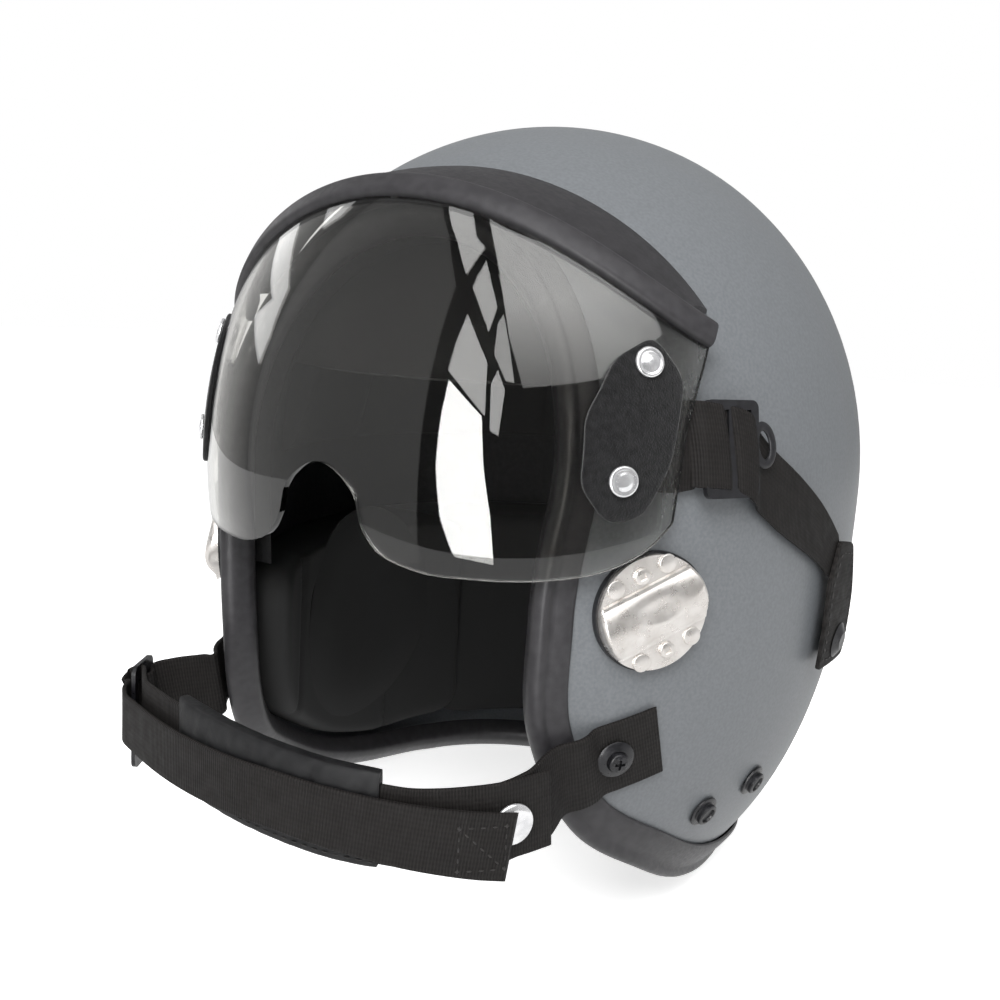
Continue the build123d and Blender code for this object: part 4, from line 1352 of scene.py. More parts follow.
@dataclass(frozen=True)
class Visor:
    """Clear lens with its bead and lip, and the patch, snaps, strap and keeper on each side."""

    wall: float = 2.2
    rear: tuple[Pair, ...] = (
        (-71, 209), (-75.6, 200), (-79.5, 192), (-84.1, 180), (-86, 170), (-87.5, 156), (-86, 128),
    )
    foot: tuple[Pair, ...] = (
        (12.9, 157), (15.6, 148), (20.5, 141), (31, 136.4), (48, 135), (66, 135.6), (79, 138.6),
        (87, 144), (93, 153), (97, 166),
    )
    notch_top: float = 165.7
    slope: float = 0.537
    bend: float = 69.5
    pole: float = 0.42
    bead: tuple[float, float, float, float] = (-4.2, 4.6, -4.4, 2.6)
    lip_thickness: float = 2.2
    lip_station: float = -73.6
    lip_station_side: float = -58.9
    lip_half: float = 88.0
    lip_bend: float = 92.0
    lip_clearance: float = 0.7
    patch_outline: tuple[Pair, ...] = (
        (-89, 208), (-83.5, 196), (-90, 170), (-97, 155), (-105, 153), (-111, 164), (-109, 184),
        (-100, 201),
    )
    patch: float = 1.5
    snaps: tuple[Pair, ...] = ((-92.4, 200), (-102, 166))
    snap_radius: float = 4.6
    tab_outline: tuple[Pair, ...] = (
        (-98, 190), (-82, 189), (-80, 188), (-80, 163), (-86, 162), (-100, 163), (-104, 176),
    )
    strap_upper: tuple[Pair, ...] = (
        (-79, 188.5), (-70, 187.5), (-60, 185), (-51, 176), (-35, 164.5), (-20, 154), (-6, 143),
    )
    strap_lower: tuple[Pair, ...] = (
        (-79, 163.5), (-66, 162), (-55, 154.5), (-44, 147), (-31, 140), (-19, 134), (-8, 128),
        (2, 128),
    )
    strap_lift: float = 2.4
    webbing: float = 1.5
    keeper_outline: tuple[Pair, ...] = (
        (-12, 126), (-7, 141), (6, 139), (15, 120), (22, 94), (-7, 94),
    )
    keeper_lift: float = 3.5
    keeper_seam_share: float = 0.84
    end_loop: tuple[float, float] = (-55.5, 175.5)
    end_loop_half: tuple[float, float] = (3.4, 5.6)
    end_loop_lift: float = 5.2
    end_loop_section: tuple[float, float] = (1.5, 0.8)

    def brow(self, forward: Array, shift: float = 0.0) -> tuple[Array, Array]:
        """Station and level of the lens's top edge ahead of its rear corner.

        The edge rises as a parabola. A shift moves it along its side view normal.

        Args:
            forward: distances ahead of the corner.
            shift: distance to move the edge.

        Returns:
            The stations and the levels.
        """
        slope = self.slope + 2 * forward / self.bend
        size = np.hypot(slope, 1)
        level = self.rear[0][1] + self.slope * forward + forward**2 / self.bend
        return self.rear[0][0] - forward + shift * slope / size, level + shift / size

    def top_edge(self) -> Array:
        """The lens's top edge on the left half, from its rear corner to the middle."""
        forward = np.linspace(0, 60, 6000)
        station, level = self.brow(forward)
        reach = np.hypot(station - LENS.station, level - LENS.level)
        end = float(np.interp(LENS.radius, reach[1000:], forward[1000:]))
        forward = end * np.sin(np.linspace(0, math.pi / 2, 1500))
        station, level = self.brow(forward)
        half = np.stack([LENS.width(station, level), station, level], axis=1)
        half[-1, 0] = 0.0
        return half

    def outline(self, count: int) -> Array:
        """Closed outline on the lens's outside: rear edge, top edge and notched foot.

        Args:
            count: number of points wanted.

        Returns:
            Even points round it.
        """
        mirrored = [(-x, z) for x, z in reversed(self.foot)]
        foot = smooth_line([*mirrored, (0.0, self.notch_top), *self.foot], 3000)
        room = 1 - (foot[:, 0] / LENS.half_width) ** 2 - ((foot[:, 1] - LENS.level) / LENS.radius) ** 2
        station = LENS.station - LENS.radius * np.sqrt(np.clip(room, 0, None))
        rear = smooth_line(self.rear, 400)[::-1]
        ahead = station < np.interp(foot[:, 1], rear[:, 1], rear[:, 0])
        foot = np.stack([foot[:, 0], station, foot[:, 1]], axis=1)[ahead]
        rear = rear[rear[:, 1] > foot[-1, 2]]
        left = np.column_stack([LENS.width(rear[:, 0], rear[:, 1]), rear])
        top = self.top_edge()
        whole = np.vstack([foot, left, top, (top * [-1, 1, 1])[-2::-1], (left * [-1, 1, 1])[::-1], foot[:1]])
        return even_run(whole, count + 1)[:-1]

    def build_lens(self) -> None:
        """Lens: rings from its middle to the outline outside, a rounded rim, and back inside."""
        flat = LENS.flat(self.outline(520))
        share = np.concatenate([np.linspace(0, 0.96, 30), [0.99, 1.0]])[:, None, None]
        spots = np.array([0.0, self.pole]) + (flat - [0.0, self.pole])[None] * share
        outer = LENS.place(spots[..., 0], spots[..., 1])
        inner = outer - LENS.normals(outer) * self.wall
        rim = (outer[-1] + inner[-1]) / 2 + unit(outer[-1] - outer[-2]) * 0.45
        rings = np.concatenate([outer, rim[None], inner[::-1]])
        piece = grid_piece("clear_lens", rings, close_columns=True)
        dress(piece, LENS_PLASTIC, Body.VISOR, "lens_plastic", "visor_lens")

    def build_bead(self) -> None:
        """Bead on the brow edge: a rounded section carried along it, with square ends."""
        top = self.top_edge()
        path = even_run(np.vstack([top, (top * [-1, 1, 1])[-2::-1]]), 320)
        low, high, deep, proud = self.bead
        turn = np.linspace(0, TURN, 36, endpoint=False)
        e = (low + high) / 2 + (high - low) / 2 * np.sign(np.cos(turn)) * np.abs(np.cos(turn)) ** 0.5
        n = (deep + proud) / 2 + (proud - deep) / 2 * np.sign(np.sin(turn)) * np.abs(np.sin(turn)) ** 0.62
        points, uv = sweep_grid(path, LENS.normals(path), np.stack([e, n], axis=1), False)
        points[..., 1] = np.minimum(points[..., 1], self.rear[0][0])
        piece = grid_piece("rubber_brow_bead", points, uv, close_columns=True, caps=True)
        dress(piece, TRIM_RUBBER, Body.VISOR, "trim_rubber", "brow_bead")

    def build_lip(self) -> None:
        """Soft lip: a strip ruled from the bead's top back to the shell, with a slight crown."""
        forward = np.linspace(0, 52, 2000)
        station, level = self.brow(forward)
        reach = LENS.width(station, level) - self.wall
        across = self.lip_half * np.sin(np.linspace(-math.pi / 2, math.pi / 2, 150))
        order = np.argsort(reach)
        found = np.interp(np.abs(across), reach[order], forward[order])
        front = np.column_stack([across, *self.brow(found, self.bead[1] - 0.6)])
        clearance = self.lip_clearance
        sweep = self.lip_station_side - self.lip_station
        station = self.lip_station + sweep * (across / self.lip_bend) ** 2
        run = (station - SHELL.station) / (SHELL.front + clearance)
        side = across / (SHELL.half_width + clearance)
        seat = SHELL.level + (SHELL.rise + clearance) * np.sqrt(np.clip(1 - run**2 - side**2, 0, None))
        rear = np.column_stack([across, station, seat])
        share = np.linspace(0, 1, 14)[None, :, None]
        under = front[:, None] * (1 - share) + rear[:, None] * share
        thick = self.lip_thickness * (1 - 0.45 * share**2)
        crown = 0.4 * np.sin(share * math.pi)
        over = under + np.array([0.0, 0.0, 1.0]) * (thick + crown)
        points = np.concatenate([under, over[:, ::-1]], axis=1)
        run_along = np.broadcast_to(across[:, None], points.shape[:2])
        width = np.broadcast_to(np.linspace(0, 40, points.shape[1])[None], points.shape[:2])
        uv = np.stack([run_along, width], axis=-1)
        piece = grid_piece("rubber_brow_lip", points, uv, close_columns=True, caps=True)
        dress(piece, LIP_RUBBER, Body.VISOR, "trim_rubber", "brow_lip")

    def build_snaps(self) -> None:
        """Snap caps on the patches and their sockets inside the lens."""
        r, base = self.snap_radius, self.patch
        cap = [(0.0, -self.wall), (1.8, -self.wall), (1.8, base + 0.1), (r - 0.3, base + 0.1)]
        cap += [(r, base + 0.4), (r, base + 0.9), (r - 0.25, base + 1.2), (r - 0.8, base + 1.3)]
        cap += [(r - 1.25, base + 1.12), (r - 1.7, base + 1.12)]
        cap += [(r * 0.5, base + 1.42), (r * 0.25, base + 1.55), (0.0, base + 1.6)]
        back = -self.wall - 0.1
        ring = [(0.0, back), (4.2, back), (4.2, back - 0.35), (3.6, back - 0.6), (2.6, back - 0.6)]
        ring += [(2.4, back - 0.2), (0.0, back - 0.2)]
        caps, sockets = [], []
        for side in SIDES.values():
            for place in self.snaps:
                seat = LENS.seat(*place).mirrored(side)
                caps.append(turned("cap", seat, cap, 56))
                sockets.append(turned("socket", seat, ring))
        dress(joined("chrome_snap_caps", caps), CHROME, Body.VISOR, "snap_chrome", "visor_snap_caps")
        dress(joined("chrome_snap_sockets", sockets), CHROME, Body.VISOR, "snap_chrome", "visor_snap_sockets")

    def strap(self, name: str, side: float) -> Piece:
        """Strap from the lens's tab through the buckle and down to the keeper.

        Rows run from front to rear between its two side view edges. Its lift swells over the
        buckle's two windows and dips at the middle bar.

        Args:
            name: the piece's name.
            side: 1 for the left side, -1 for the right.

        Returns:
            The new object.
        """
        upper = smooth_line(self.strap_upper, 190)
        lower = smooth_line(self.strap_lower, 190)
        across = spread(20, 24.0, self.webbing / 2)[None, :, None]
        spots = upper[:, None] * (1 - across) + lower[:, None] * across
        middle = spots.mean(axis=1)[:, 0]
        rise = 3.7 / (1 + np.exp(-(middle + 77.5) / 0.7)) / (1 + np.exp((middle + 57.5) / 0.8))
        dip = 1.9 * np.exp(-(((middle + 67.3) / 1.1) ** 2))
        lift = (self.strap_lift + rise - dip)[:, None] + 0 * spots[..., 0]
        centre = SHELL.on(spots[..., 0], spots[..., 1], lift)
        out = SHELL.normal(spots[..., 0], spots[..., 1])
        run = np.concatenate([[0.0], np.cumsum(np.linalg.norm(np.diff(centre[:, 10], axis=0), axis=1))])
        uv = np.stack(np.broadcast_arrays(run[:, None], across[..., 0] * 25.0), axis=-1)
        flip = [side, 1, 1]
        return slab(name, centre * flip, out * flip, self.webbing, self.webbing / 2, uv)

    def build_side(self, name: str, side: float) -> None:
        """Patch, tab, strap and keeper with their seams on one side.

        Args:
            name: left or right.
            side: 1 for the left side, -1 for the right.
        """
        ring = soft_outline(self.patch_outline, 4.0, 200)
        patch = plate_on(f"pile_patch_{name}", LENS, ring, 0.05, self.patch, 0.8, side)
        dress(patch, PILE, Body.VISOR, "pile_fabric", f"side_patch_{name}")
        back = -self.wall - 0.1
        ring = soft_outline(self.tab_outline, 1.0, 160)
        tab = plate_on(f"webbing_tab_{name}", LENS, ring, back - 1.2, back, 0.4, side)
        dress(tab, WEBBING, Body.VISOR, "webbing", f"visor_tab_{name}")
        strap = self.strap(f"webbing_visor_strap_{name}", side)
        dress(strap, WEBBING, None, "webbing", f"visor_strap_{name}")
        dress(self.strap_loop(f"strap_end_loop_{name}", side), NYLON, Body.ROOT, "black_plastic")
        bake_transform(strap)
        ring = soft_outline(self.keeper_outline, 2.0, 160)
        low, high = self.keeper_lift, self.keeper_lift + self.webbing
        keeper = plate_on(f"webbing_keeper_{name}", SHELL, ring, low, high, 0.6, side)
        dress(keeper, WEBBING, Body.ROOT, "webbing", f"strap_keeper_{name}")
        middle = ring.mean(axis=0)
        station, level = (middle + (ring - middle) * self.keeper_seam_share).T
        flip = [side, 1, 1]
        seam = SHELL.on(station, level, high) * flip
        thread = stitches(f"keeper_thread_{name}", seam, SHELL.normal(station, level) * flip)
        dress(thread, THREAD, Body.ROOT, "webbing")

    def strap_loop(self, name: str, side: float) -> Piece:
        """Loop at the strap's doubled end: an oval section carried round an upright oval.

        Args:
            name: the piece's name.
            side: 1 for the left side, -1 for the right.

        Returns:
            The new object.
        """
        turn = np.linspace(0, TURN, 60, endpoint=False)
        along, up = self.end_loop_half
        station = self.end_loop[0] + along * np.cos(turn)
        level = self.end_loop[1] + up * np.sin(turn)
        flip = [side, 1, 1]
        path = SHELL.on(station, level, self.end_loop_lift) * flip
        round_it = np.linspace(0, TURN, 16, endpoint=False)
        wide, thick = self.end_loop_section
        section = np.stack([wide * np.cos(round_it), thick * np.sin(round_it)], axis=1)
        return swept(name, path, SHELL.normal(station, level) * flip, section, closed=True)

    def build(self) -> None:
        """Every piece of the visor."""
        self.build_lens()
        self.build_bead()
        self.build_lip()
        self.build_snaps()
        for name, side in SIDES.items():
            self.build_side(name, side)


# Mask receivers


@dataclass(frozen=True)
class Receivers:
    """Bright cover bridging each round plate, with domed rivets and square-socket screws."""

    station: float = -86.0
    level: float = 125.0
    tilt: float = 25.0
    radius: float = 18.3
    half: float = 9.5
    base: float = 2.6
    rise: float = 3.6
    arch: float = 14.5
    rivet: tuple[float, float] = (9.2, 13.0)

    def cover(self, name: str, seat: Seat) -> Piece:
        """Bridge cover as a height over a disc cut by two straight edges.

        Height is a low arch across, less a long thumb dimple and a curved crease, and it falls by a
        quarter circle at the round ends. The right end has a stepped notch.

        Args:
            name: the piece's name.
            seat: where the receiver stands.

        Returns:
            The new object.
        """
        v = np.linspace(-1, 1, 61)[None, :] * self.half
        reach = np.sqrt(self.radius**2 - v**2)
        u = np.sin(np.linspace(-math.pi / 2, math.pi / 2, 101))[:, None] * reach
        v = v + 0 * u
        arch = self.rise - self.arch + np.sqrt(self.arch**2 - v**2)
        dimple = 1.5 * np.exp(-(np.abs((u - 0.5) / 8.0) ** 2.6) - np.abs((v - 0.8) / 4.6) ** 2.4)
        line = v + 4.4 - 0.035 * (u - 4) ** 2
        crease = 0.55 / (1 + np.exp(line / 0.35)) / (1 + np.exp(-(u + 4) / 1.2))
        border = np.clip((reach - np.abs(u)) / 1.4, 0, 1)
        side_border = np.clip((self.half - np.abs(v)) / 0.7, 0, 1)
        edge = np.sqrt(1 - (1 - border) ** 2) * np.sqrt(1 - (1 - side_border) ** 2)
        top = np.maximum(arch - dimple - crease, 0.9) * (0.25 + 0.75 * edge)
        top[0] = top[-1] = 0.0
        top[:, 0] = top[:, -1] = 0.0
        upper = seat.at(u, v, self.base + top)
        lower = seat.at(u, v, np.full_like(u, self.base))
        faces = grid_faces(*u.shape, False, False)
        points = np.concatenate([upper.reshape(-1, 3), lower.reshape(-1, 3)])
        both = np.concatenate([faces, faces[:, ::-1] + u.size])
        return make_piece(name, points, both.tolist())

    def rivet_profile(self) -> list[tuple[float, float]]:
        """Profile of a rivet's low domed head."""
        return dome_profile(3.0, self.base, 3.55, 0.5)

    def build(self) -> None:
        """Covers, rivets and screws on both sides."""
        rivets, screws = [], []
        for name, side in SIDES.items():
            seat = SHELL.seat(self.station, self.level).turned(self.tilt).mirrored(side)
            cover = self.cover(f"nickel_cover_{name}", seat)
            dress(cover, NICKEL, Body.ROOT, "nickel", f"receiver_cover_{name}")
            run, out = self.rivet
            for across in (-out, out):
                for along in (-run, run):
                    rivets.append(turned("rivet", seat.moved(along, across), self.rivet_profile()))
                place = seat.moved(0.0, across)
                rod = [(0.0, -5.6), (1.6, -5.6), (1.6, self.base), (0.0, self.base)]
                shank = turned("shank", place, rod, 24)
                head = recessed_head("head", place, 2.6, self.base, 3.8, (0.95, 0.95), 0.7)
                screws += [shank, head]
        dress(joined("nickel_rivets", rivets), NICKEL, Body.ROOT, "nickel", "receiver_rivets")
        dress(joined("nickel_screws", screws), NICKEL, Body.ROOT, "nickel", "receiver_screws")


# Chin strap


@dataclass(frozen=True)
class ChinStrap:
    """Chin tabs with their screws, the strap with its folded tail, its sleeve and snap."""

    screw: tuple[float, float] = (-88.5, 77.3)
    width: float = 25.0
    strap_width: float = 24.4
    webbing: float = 1.6
    route: tuple[Pair, ...] = (
        (73, -116.5), (65, -130.5), (50, -144), (28, -154), (0, -158), (-30, -155), (-56, -147.5),
        (-73, -140), (-77.6, -136.8), (-80.1, -132.8),
    )
    hang_shares: tuple[float, ...] = (0.0, 0.1, 0.25, 0.4, 0.78, 1.0)
    hang_levels: tuple[float, ...] = (68.5, 67.0, 65.2, 66.6, 72.0, 72.0)
    tail_turn: tuple[Pair, ...] = (
        (-81.2, -131.9), (-82.6, -132.1), (-83.6, -133.2), (-83.4, -134.6), (-82, -138.8),
        (-78.2, -142.5),
    )
    tail_level: float = 68.7
    tail_drop: float = 10.3
    tail_width: tuple[float, float] = (18.0, 22.0)
    tail_gap: float = 4.1
    tail_end: float = 0.087
    tab_wall: tuple[tuple[float, float, float], ...] = (
        (-76.5, 82.0, 1.15), (-82.5, 79.7, 1.15), (-88.5, 77.3, 1.15), (-91.8, 76.1, 1.5),
        (-94.6, 75.1, 4.2), (-97.4, 74.2, 5.4), (-99.6, 73.6, 5.5),
    )
    tab_slope: float = 16 / 56
    left_shares: tuple[float, ...] = (0.03, 0.07, 0.11, 0.15)
    right_route: tuple[Pair, ...] = (
        (81.5, -114), (86.6, -120.1), (84.6, -124.4), (85.4, -126.9), (87.9, -126.2),
        (90.6, -121.7),
    )
    box_low: float = 55.0
    box_high: float = 68.0
    sleeve_shares: tuple[float, float] = (0.3, 0.74)
    sleeve: tuple[float, float] = (5.6, 29.0)
    sleeve_rise: float = 1.8
    snap_share: float = 0.08
    snap_level: float = 66.5

    def loop(self) -> Array:
        """The strap's line in plan, finely."""
        return smooth_line(self.route, 1000)

    def beside(self, shares: Array, distance: float) -> Array:
        """Points in plan beside the loop, towards the wearer for a positive distance."""
        line = self.loop()
        way = tangents_of(line, False)
        at = (np.asarray(shares) * (len(line) - 1)).astype(int)
        return line[at] + np.stack([way[at, 1], -way[at, 0]], axis=1) * distance

    @staticmethod
    def upright(plan: Array, level: Array) -> Array:
        """Frames of webbing on edge along a line in plan: outward is the line's left normal."""
        way = tangents_of(plan, False)
        out = np.column_stack([-way[:, 1], way[:, 0], np.zeros(len(way))])
        return np.hstack([plan, np.broadcast_to(np.asarray(level, float), (len(plan),))[:, None], out])

    def tab(self, name: str, plan: Array, side: float) -> Piece:
        """Tab from its screw over the trim and on in the air, sloping down to the front.

        Args:
            name: the piece's name.
            plan: its free run in plan.
            side: 1 for the left side, -1 for the right.

        Returns:
            The new object.
        """
        wall = np.array(self.tab_wall)
        hug = np.hstack([SHELL.on(wall[:, 0], wall[:, 1], wall[:, 2]), SHELL.normal(wall[:, 0], wall[:, 1])])
        station, level = self.screw
        free = smooth_line(plan, 14)
        free = self.upright(free, level + (free[:, 1] - station) * self.tab_slope)
        return ribbon_piece(name, np.vstack([hug, free]), self.width, self.webbing, 150, side)

    def build_tabs(self) -> None:
        """Both chin tabs."""
        left = self.tab("webbing_chin_tab_left", self.beside(self.left_shares, self.webbing + 0.35), 1.0)
        right = self.tab("webbing_chin_tab_right", np.array(self.right_route), -1.0)
        for piece, name, side in ((left, "left", 1.0), (right, "right", -1.0)):
            dress(piece, WEBBING, None, "webbing", f"chin_tab_{name}")
            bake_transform(piece)

    def build_strap(self) -> None:
        """Strap: along the loop, round the ladder buckle's bar and back outside as the tail."""
        line = self.loop()[::50]
        main = self.upright(line, self.hang(np.linspace(0, 1, len(line))))[:-1]
        turn = np.array(self.tail_turn)
        shares = np.linspace(0.9, self.tail_end, 17)
        outer = self.beside(shares, -self.tail_gap)
        plan = np.vstack([self.route[-1], turn, outer])
        start = float(self.hang(np.array(1.0)))
        levels = start + (self.tail_level - start) * np.clip(np.arange(len(plan)) / len(turn), 0, 1)
        drop = np.clip(1 - shares / 0.5, 0, 1) ** 1.4
        levels[-len(shares) :] -= self.tail_drop * drop
        back = self.upright(plan, levels)[1:]
        narrow, wide = self.tail_width
        fold = np.linspace(self.strap_width, narrow, len(turn))
        widths = np.concatenate([np.full(len(main), self.strap_width), fold, narrow + (wide - narrow) * drop])
        strap = ribbon_piece("webbing_chin_strap", np.vstack([main, back]), widths, self.webbing, 420)
        dress(strap, WEBBING, Body.CHIN, "webbing", "chin_strap")
        first, last = self.tail_end + 0.012, self.tail_end + 0.085
        low, high = self.box_low, self.box_high
        corners = ((first, low), (first, high), (last, high), (last, low), (first, low), (last, high))
        seam = [self.tail_seam(start, end) for start, end in zip(corners, corners[1:])]
        dress(joined("strap_thread", seam), THREAD, Body.CHIN, "webbing")

    def hang(self, shares: Array) -> Array:
        """Level of the strap's middle along the loop: it sags between the snap and the sleeve."""
        return np.interp(shares, self.hang_shares, self.hang_levels)

    def tail_seam(self, start: tuple[float, float], end: tuple[float, float]) -> Piece:
        """Stitches on the tail's outside between two places, each a share of the loop and a level.

        Args:
            start: the first place.
            end: the last place.

        Returns:
            One object with the stitches.
        """
        shares = np.linspace(start[0], end[0], 20)
        plan = self.beside(shares, -self.tail_gap)
        nearby = self.beside(shares + 0.004, -self.tail_gap)
        way = unit(nearby - plan)
        out = np.column_stack([-way[:, 1], way[:, 0], np.zeros(20)])
        path = np.column_stack([plan, np.linspace(start[1], end[1], 20)])
        out = out * np.sign((out[:, :2] * (plan - self.beside(shares, 0.0))).sum(axis=1, keepdims=True))
        return stitches("seam", path + out * (self.webbing / 2), out, 2.4, 1.7)

    def build_sleeve(self) -> None:
        """Leather sleeve: a flat tube along the strap, outside skin out and inside skin back.

        Its outside swells a little between the strap's edges and carries soft creases.
        """
        thick, height = self.sleeve
        rows = 150
        line = self.loop()
        start, end = (int(share * (len(line) - 1)) for share in self.sleeve_shares)
        plan = even_run(line[start:end], rows)
        turn = np.linspace(0, TURN, 72, endpoint=False)
        sharp = squared(turn, 0.32).T
        hang = self.hang(np.linspace(*self.sleeve_shares, rows))
        frames = self.upright(plan, hang + self.sleeve_rise)
        centre, out = frames[:, None, :3], frames[:, None, 3:]
        run = np.linspace(0, 1, rows)[:, None]
        ends = 1 - 0.25 * (np.exp(-run / 0.03) + np.exp(-(1 - run) / 0.03))
        crease = 0.35 * np.sin(run * 61 + 2.1 * np.sin(turn)[None]) * np.sin(run * 17 + turn[None]) ** 2
        deep = sharp[0][None] * (thick / 2 * ends) + crease * np.abs(np.cos(turn))[None]
        high = sharp[1][None] * height / 2 + 0 * run
        upwards = np.array([0.0, 0.0, 1.0])
        skin = centre + out * deep[..., None] + upwards * high[..., None]
        slot_deep = sharp[0][None] * 1.25 + 0 * run
        slot_high = sharp[1][None] * (self.strap_width / 2 + 0.25) - self.sleeve_rise + 0 * run
        inside = centre + out * slot_deep[..., None] + upwards * slot_high[..., None]
        points = np.concatenate([skin, inside[::-1]])
        piece = grid_piece("leather_chin_sleeve", points, close_rows=True, close_columns=True)
        dress(piece, LEATHER, Body.CHIN, "sleeve_leather", "chin_sleeve")
        level = hang[3:-3] + self.sleeve_rise - height / 2 + 2.2
        frame_line = self.upright(plan[3:-3], level)
        path = frame_line[:, :3] + frame_line[:, 3:] * (thick / 2 - 0.1)
        thread = stitches("sleeve_thread", path, frame_line[:, 3:], 3.2, 2.2)
        dress(thread, THREAD, Body.CHIN, "sleeve_leather")

    def build_metal(self) -> None:
        """Chrome snap on the strap, and the cup washers and cross-recess screws on the shell."""
        line = self.loop()
        at = int(self.snap_share * (len(line) - 1))
        way = unit(line[at + 1] - line[at])
        out = np.array([-way[1], way[0], 0.0])
        place, along = np.array([*line[at], self.snap_level]), np.array([*way, 0.0])
        seat = Seat(place, along, np.array([0.0, 0.0, 1.0]), out)
        face = self.webbing / 2 + 0.3
        back = -self.webbing - 0.3 - face
        cap = [(0.0, back - 0.5), (4.2, back - 0.5), (4.2, back), (1.8, back), (1.8, face), (6.0, face)]
        cap += [(6.3, face + 0.4), (6.25, face + 0.9), (5.8, face + 1.3), (4.6, face + 1.6)]
        cap += [(3.0, face + 1.75), (0.0, face + 1.8)]
        dress(turned("chrome_chin_snap", seat, cap, 64), CHROME, Body.CHIN, "snap_chrome", "chin_snap")
        washers, screws = [], []
        top = 2.5
        dish = [(2.15, top), (6.1, top), (6.25, top + 0.2), (6.0, top + 0.45), (5.0, top + 0.75)]
        dish += [(4.0, top + 1.3), (3.6, top + 1.4), (3.35, top + 1.2), (2.15, top + 1.2), (2.15, top)]
        for side in SIDES.values():
            seat = SHELL.seat(*self.screw).mirrored(side)
            washers.append(turned("washer", seat, dish, 56))
            screws.append(turned("shank", seat, [(0.0, -4.2), (2.0, -4.2), (2.0, 3.9), (0.0, 3.9)], 24))
            screws.append(recessed_head("head", seat, 3.4, 3.9, 6.1, (1.7, 0.42), 1.0))
        dress(joined("steel_cup_washers", washers), BLACK_STEEL, Body.ROOT, "black_steel", "cup_washers")
        dress(joined("steel_chin_screws", screws), BLACK_STEEL, Body.ROOT, "black_steel", "chin_screws")

    def build(self) -> None:
        """Every piece of the chin strap."""
        self.build_tabs()
        self.build_strap()
        self.build_sleeve()
        self.build_metal()


@dataclass(frozen=True)
class NapeStuds:
    """Snap studs low on each side, with rolled rims."""

    places: tuple[Pair, ...] = ((-44, 47), (-19, 52))

    def build(self) -> None:
        """All four studs, each turned about the shell's normal."""
        profile = [(0.0, -4.3), (6.0, -4.3), (6.0, -3.3), (1.8, -3.3), (1.8, 0.3), (5.6, 0.3), (6.0, 0.6)]
        profile += [(5.9, 1.0), (5.2, 1.3), (4.3, 1.3), (4.0, 1.6), (4.15, 2.4), (4.05, 2.9), (3.5, 3.2)]
        profile += [(2.9, 3.15), (2.6, 2.4), (0.0, 2.3)]
        seats = [SHELL.seat(*place).mirrored(side) for side in SIDES.values() for place in self.places]
        studs = [turned("stud", seat, profile, 48) for seat in seats]
        dress(joined("steel_nape_studs", studs), BLACK_STEEL, Body.ROOT, "black_steel", "nape_studs")


# Studio


# The room's windows stand on a cylinder of this radius about the origin
RING = 1600.0
RING_MM_PER_DEGREE = RING * math.pi / 180


